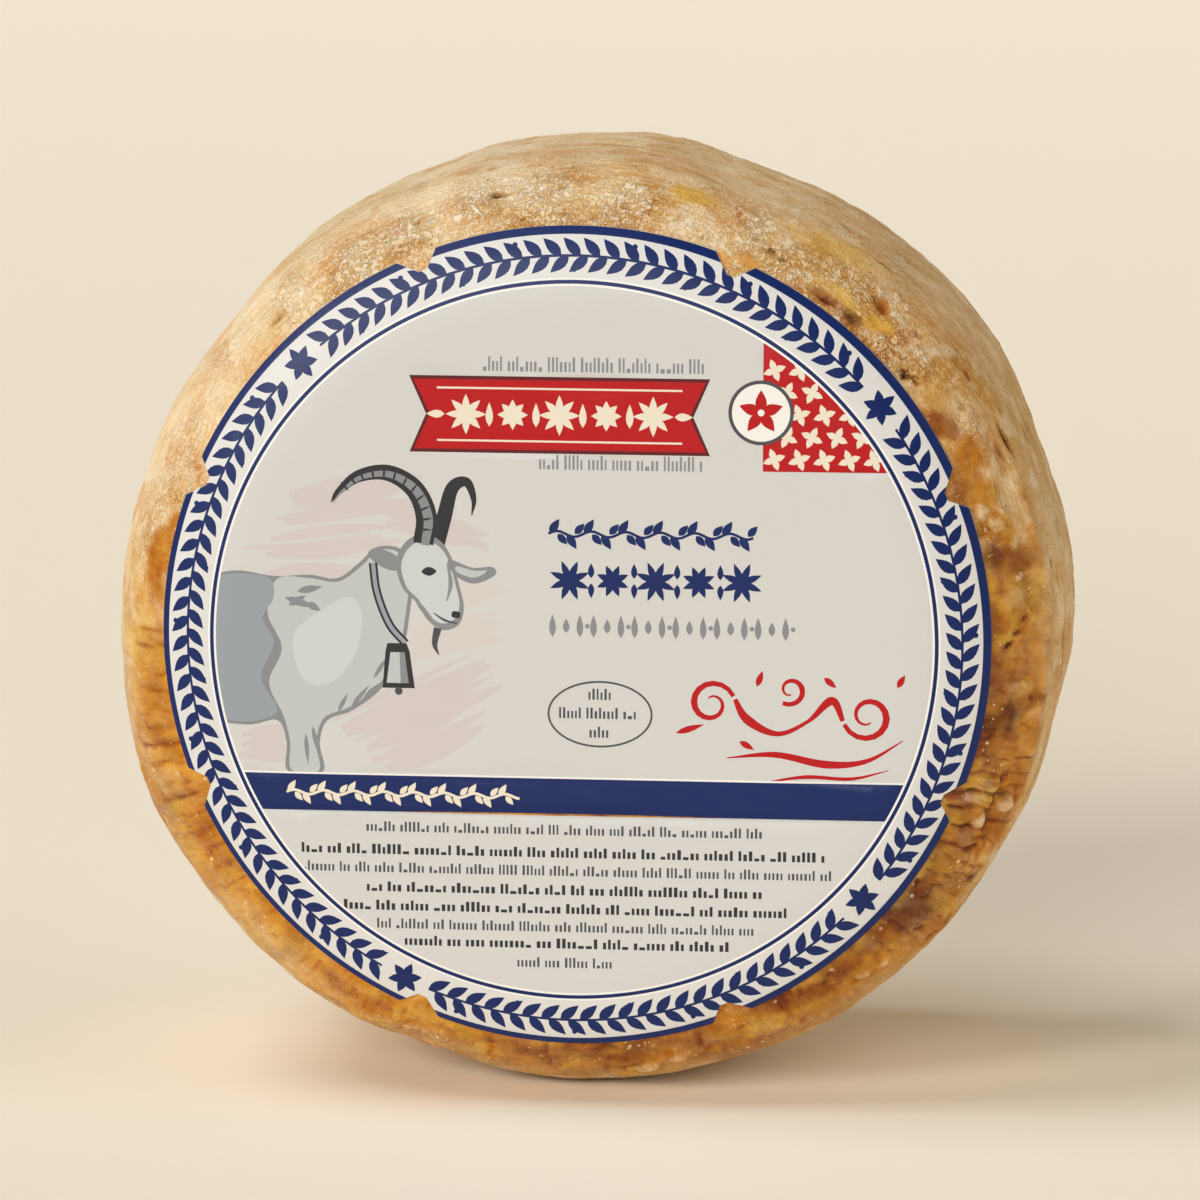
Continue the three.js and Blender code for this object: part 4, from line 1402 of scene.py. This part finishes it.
def titleArt(random):
    # Three ornament rows, an oval stamp and a pen scroll.
    art = []
    art += inked("navy", vine(-4.7, 35.6, 19.0, 5.7, 3.4, 1.7))
    art += inked("navy", blossomRow(-4.7, 37.6, 8.4, 8.4, 5))
    art += inked("mid grey", lozengeRow(-4.7, 44.1, 1.2, 4.6, 2.7))
    angle = np.linspace(0, 2 * math.pi, 48, endpoint=False)
    ovalPath = np.stack([np.cos(angle), np.sin(angle)], -1)
    art.append(("dark grey", ovalPath * (10.4, 6.7) + (5.5, -14.1)))
    art.append(("field tint", ovalPath * (10.0, 6.3) + (5.5, -14.1)))
    for x0, x1, z in ((3.2, 7.6, -11.2), (-2.6, 13.4, -15.0), (3.4, 7.4, -18.8)):
        art += inked("dark grey", capRow(x0, x1, z, 2.2, random))
    art += inked("red", flourish())
    return art


def finePrint(random):
    # Rows of plain marks at the bottom.
    art = []
    for x0, x1, z, bold in (
        (-41, 37, -38.6, False), (-54, 50, -43.2, True), (-54, 51, -46.9, False), (-41, 37, -50.8, True),
        (-47, 43, -54.6, True), (-39, 36, -58.3, False), (-33.5, 31, -61.7, True), (-11, 8, -65.6, False),
    ):
        tone = "black" if bold else "dark grey"
        art += inked(tone, capRow(x0, x1, z, 2.0, random, bold))
    return art


def ringArt():
    # The ring round the field, with its laurel branches and rosettes.
    art = []
    for tone, inner, outer in (
        ("white", label["field"], label["ringInner"]),
        ("navy", label["ringInner"], label["ringOuter"]),
        ("white", label["ringOuter"], label["ringOuter"] + label["hairline"]),
        ("ring paper", label["ringOuter"] + label["hairline"], label["borderInner"]),
    ):
        art += inked(tone, ringBand(inner, outer))
    turns = label["rosetteTurns"]
    for start, end in zip(turns, (*turns[1:], turns[0] + 360)):
        art += inked("navy", garland(start + 3.9, end - 3.9))
        x, z = (label["garlandRadius"] * f(math.radians(start)) for f in (math.cos, math.sin))
        art += inked("navy", flower(x, z, 3.5, 6, 1.9, start))
    return art


def labelArt():
    # Everything printed on the label, from the bottom layer to the top, in mm from its middle.
    random = np.random.default_rng(11)
    art = [("field tint", disc(label["borderInner"]))]

    # Brushed patches behind the goat, and the goat.
    for x0, z0, x1, z1, wide in (
        (-56, 27, -30, 31, 9), (-60, 21, -36, 24, 9), (-63, 15, -40, 18, 8), (-36, 24, -17, 20, 8),
        (-30, 8, -13, 14, 8), (-32, 0, -14, 4, 9), (-44, -20, -16, -6, 10), (-40, -24, -18, -14, 8),
        (-66, -22, -52, -19, 6),
    ):
        tone = "rose" if random.uniform() < 0.5 else "rose light"
        art += inked(tone, brushMark(x0, z0, x1, z1, wide, random))
    art += goat()
    art += ribbonArt(random) + cornerArt() + titleArt(random)

    # The navy band with its cream vine.
    art.append(("white", box(-67, -34.7, 67, -26.9)))
    art.append(("navy", box(-67, -34.7, 67, -27.3)))
    art += inked("cream", vine(-56.9, -10.5, -33.3, 4.6, 3.0, 1.3))
    return art + finePrint(random) + ringArt()


def labelOutline():
    # A circle with eight straight-sided nicks.
    parts = []
    radius, floorRadius = wheel["labelRadius"], wheel["labelRadius"] - nick["depth"]
    halfMouth = math.degrees(nick["mouth"] / 2 / radius)
    for middle in nickTurns:
        parts.append(arc(radius, middle - 45 + halfMouth, middle - halfMouth, step=1.0))
        for side in (-1, 1):
            offset = math.degrees((side * nick["floor"] / 2 - nick["lean"]) / floorRadius)
            parts.append(arc(floorRadius, middle + offset, middle + offset + 1)[:1])
    return np.concatenate(parts)


def inkMaterial(name):
    # Coated label paper with offset print: a thin even ink film, satin, over faint paper fibre.
    colour, roughness = inks[name]
    plain = name in ("ring paper", "field tint")
    material = newMaterial("coated paper" if name == "ring paper" else name + " print on coated paper")
    place = addNode(material, "ShaderNodeTexCoord").outputs["Object"]
    fibre = addNode(material, "ShaderNodeTexNoise", {"Vector": place, "Scale": 900, "Detail": 3})
    haze = addNode(material, "ShaderNodeTexNoise", {"Vector": place, "Scale": 60, "Detail": 2})
    gloss = addNode(material, "ShaderNodeMapRange", {
        "Value": haze.outputs["Fac"], "To Min": roughness - 0.05, "To Max": roughness + 0.08,
    })
    bump = addNode(material, "ShaderNodeBump", {
        "Height": fibre.outputs["Fac"], "Strength": 0.12, "Distance": 0.00008,
    })
    shader = addNode(material, "ShaderNodeBsdfPrincipled", {
        "Base Color": rgba(colour),
        "Roughness": gloss.outputs[0],
        "Normal": bump.outputs["Normal"],
        "IOR": 1.5,
        "Specular IOR Level": 0.32,
    })
    if plain:
        both = addNode(material, "ShaderNodeMath", {0: fibre.outputs["Fac"], 1: haze.outputs["Fac"]},
                       operation="MULTIPLY")
        tone = addNode(material, "ShaderNodeMix", {"Factor": both.outputs[0]}, data_type="RGBA")
        tone.inputs["A"].default_value = (*(hexColour(colour) * 1.02), 1)
        tone.inputs["B"].default_value = (*(hexColour(colour) * 0.96), 1)
        material.node_tree.links.new(tone.outputs["Result"], shader.inputs["Base Color"])
    addNode(material, "ShaderNodeOutputMaterial", {"Surface": shader.outputs["BSDF"]})
    return material


def makeLabel():
    # The print's shapes cut one sheet into triangles, and each takes the ink of the top shape over
    # it. The sheet is then laid over the wheel's front, and given a back and an edge.
    art = labelArt()
    shift = np.array(label["printShift"])
    outlines = [labelOutline()] + [counterClockwise(shape + shift) for _, shape in art]
    names = ["navy"] + [name for name, _ in art]
    reach = label["field"] - 1
    marks = np.arange(-reach, reach, label["step"])
    grid = np.stack(np.meshgrid(marks, marks), -1).reshape(-1, 2)
    jitter = label["jitter"]
    grid = grid[np.hypot(*grid.T) < label["gridReach"]]
    grid = grid + np.random.default_rng(5).uniform(-jitter, jitter, (2,))
    rings = [disc(r, step=label["ringSpacing"]) for r in np.arange(*label["rings"])]
    loose = np.concatenate([grid, *rings])
    corners = np.concatenate([*outlines, loose])
    first = np.cumsum([0] + [len(o) for o in outlines])
    faces = [list(range(a, b)) for a, b in zip(first[:-1], first[1:])]
    points, _, triangles, _, _, owners = delaunay_2d_cdt(
        [Vector(p) for p in corners.tolist()], [], faces, 1, label["weld"])
    top = [max(o) if o and min(o) == 0 else -1 for o in owners]
    kept = [(t, names[k]) for t, k in zip(triangles, top) if k >= 0 and len(t) == 3]
    sheet = np.array([t for t, _ in kept])
    used, sheet = np.unique(sheet, return_inverse=True)
    sheet = sheet.reshape(-1, 3)
    flat = np.array([tuple(p) for p in points])[used]
    facing = np.cross(flat[sheet[:, 1]] - flat[sheet[:, 0]], flat[sheet[:, 2]] - flat[sheet[:, 0]])
    sheet = np.where((facing > 0)[:, None], sheet, sheet[:, ::-1])

    x, z = flat[:, 0], flat[:, 1] + wheel["labelRise"]
    spots = np.stack([x, 0 * x, z], -1)
    wave = sum(rise * gradientNoise(spots, size, 91) for size, rise in label["waves"])
    wave = wave + label["rise"]
    above = frontLift(x, z, label["gap"] + label["thickness"] + wave)
    below = frontLift(x, z, label["gap"] + wave)
    upper = np.stack([axisX + x, above, axisZ + z], -1)
    lower = np.stack([axisX + x, below, axisZ + z], -1)
    count = len(flat)

    # The edge of the sheet: the sides that only one triangle has.
    sides = np.concatenate([sheet[:, [0, 1]], sheet[:, [1, 2]], sheet[:, [2, 0]]])
    key = np.sort(sides, 1)
    _, index, times = np.unique(key[:, 0] * count + key[:, 1], return_index=True, return_counts=True)
    rim = sides[index[times == 1]]
    wall = np.concatenate([
        np.stack([rim[:, 1], rim[:, 0], rim[:, 0] + count], -1),
        np.stack([rim[:, 1], rim[:, 0] + count, rim[:, 1] + count], -1),
    ])
    order = list(inks)
    slotOf = np.array([order.index(name) for _, name in kept])
    everything = np.concatenate([sheet, sheet[:, ::-1] + count, wall])
    slotOf = np.concatenate([slotOf, np.zeros(len(sheet) + len(wall), int)])
    made = makeObject("printed_label", np.concatenate([upper, lower]), everything,
                      [inkMaterial(name) for name in order], slotOf)
    made.data.set_sharp_from_angle(angle=math.radians(label["sharp"]))
    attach(made, "root")
    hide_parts("paper_label")
    print("label:", len(art), "printed shapes,", len(everything), "triangles")
    return made


makeLabel()
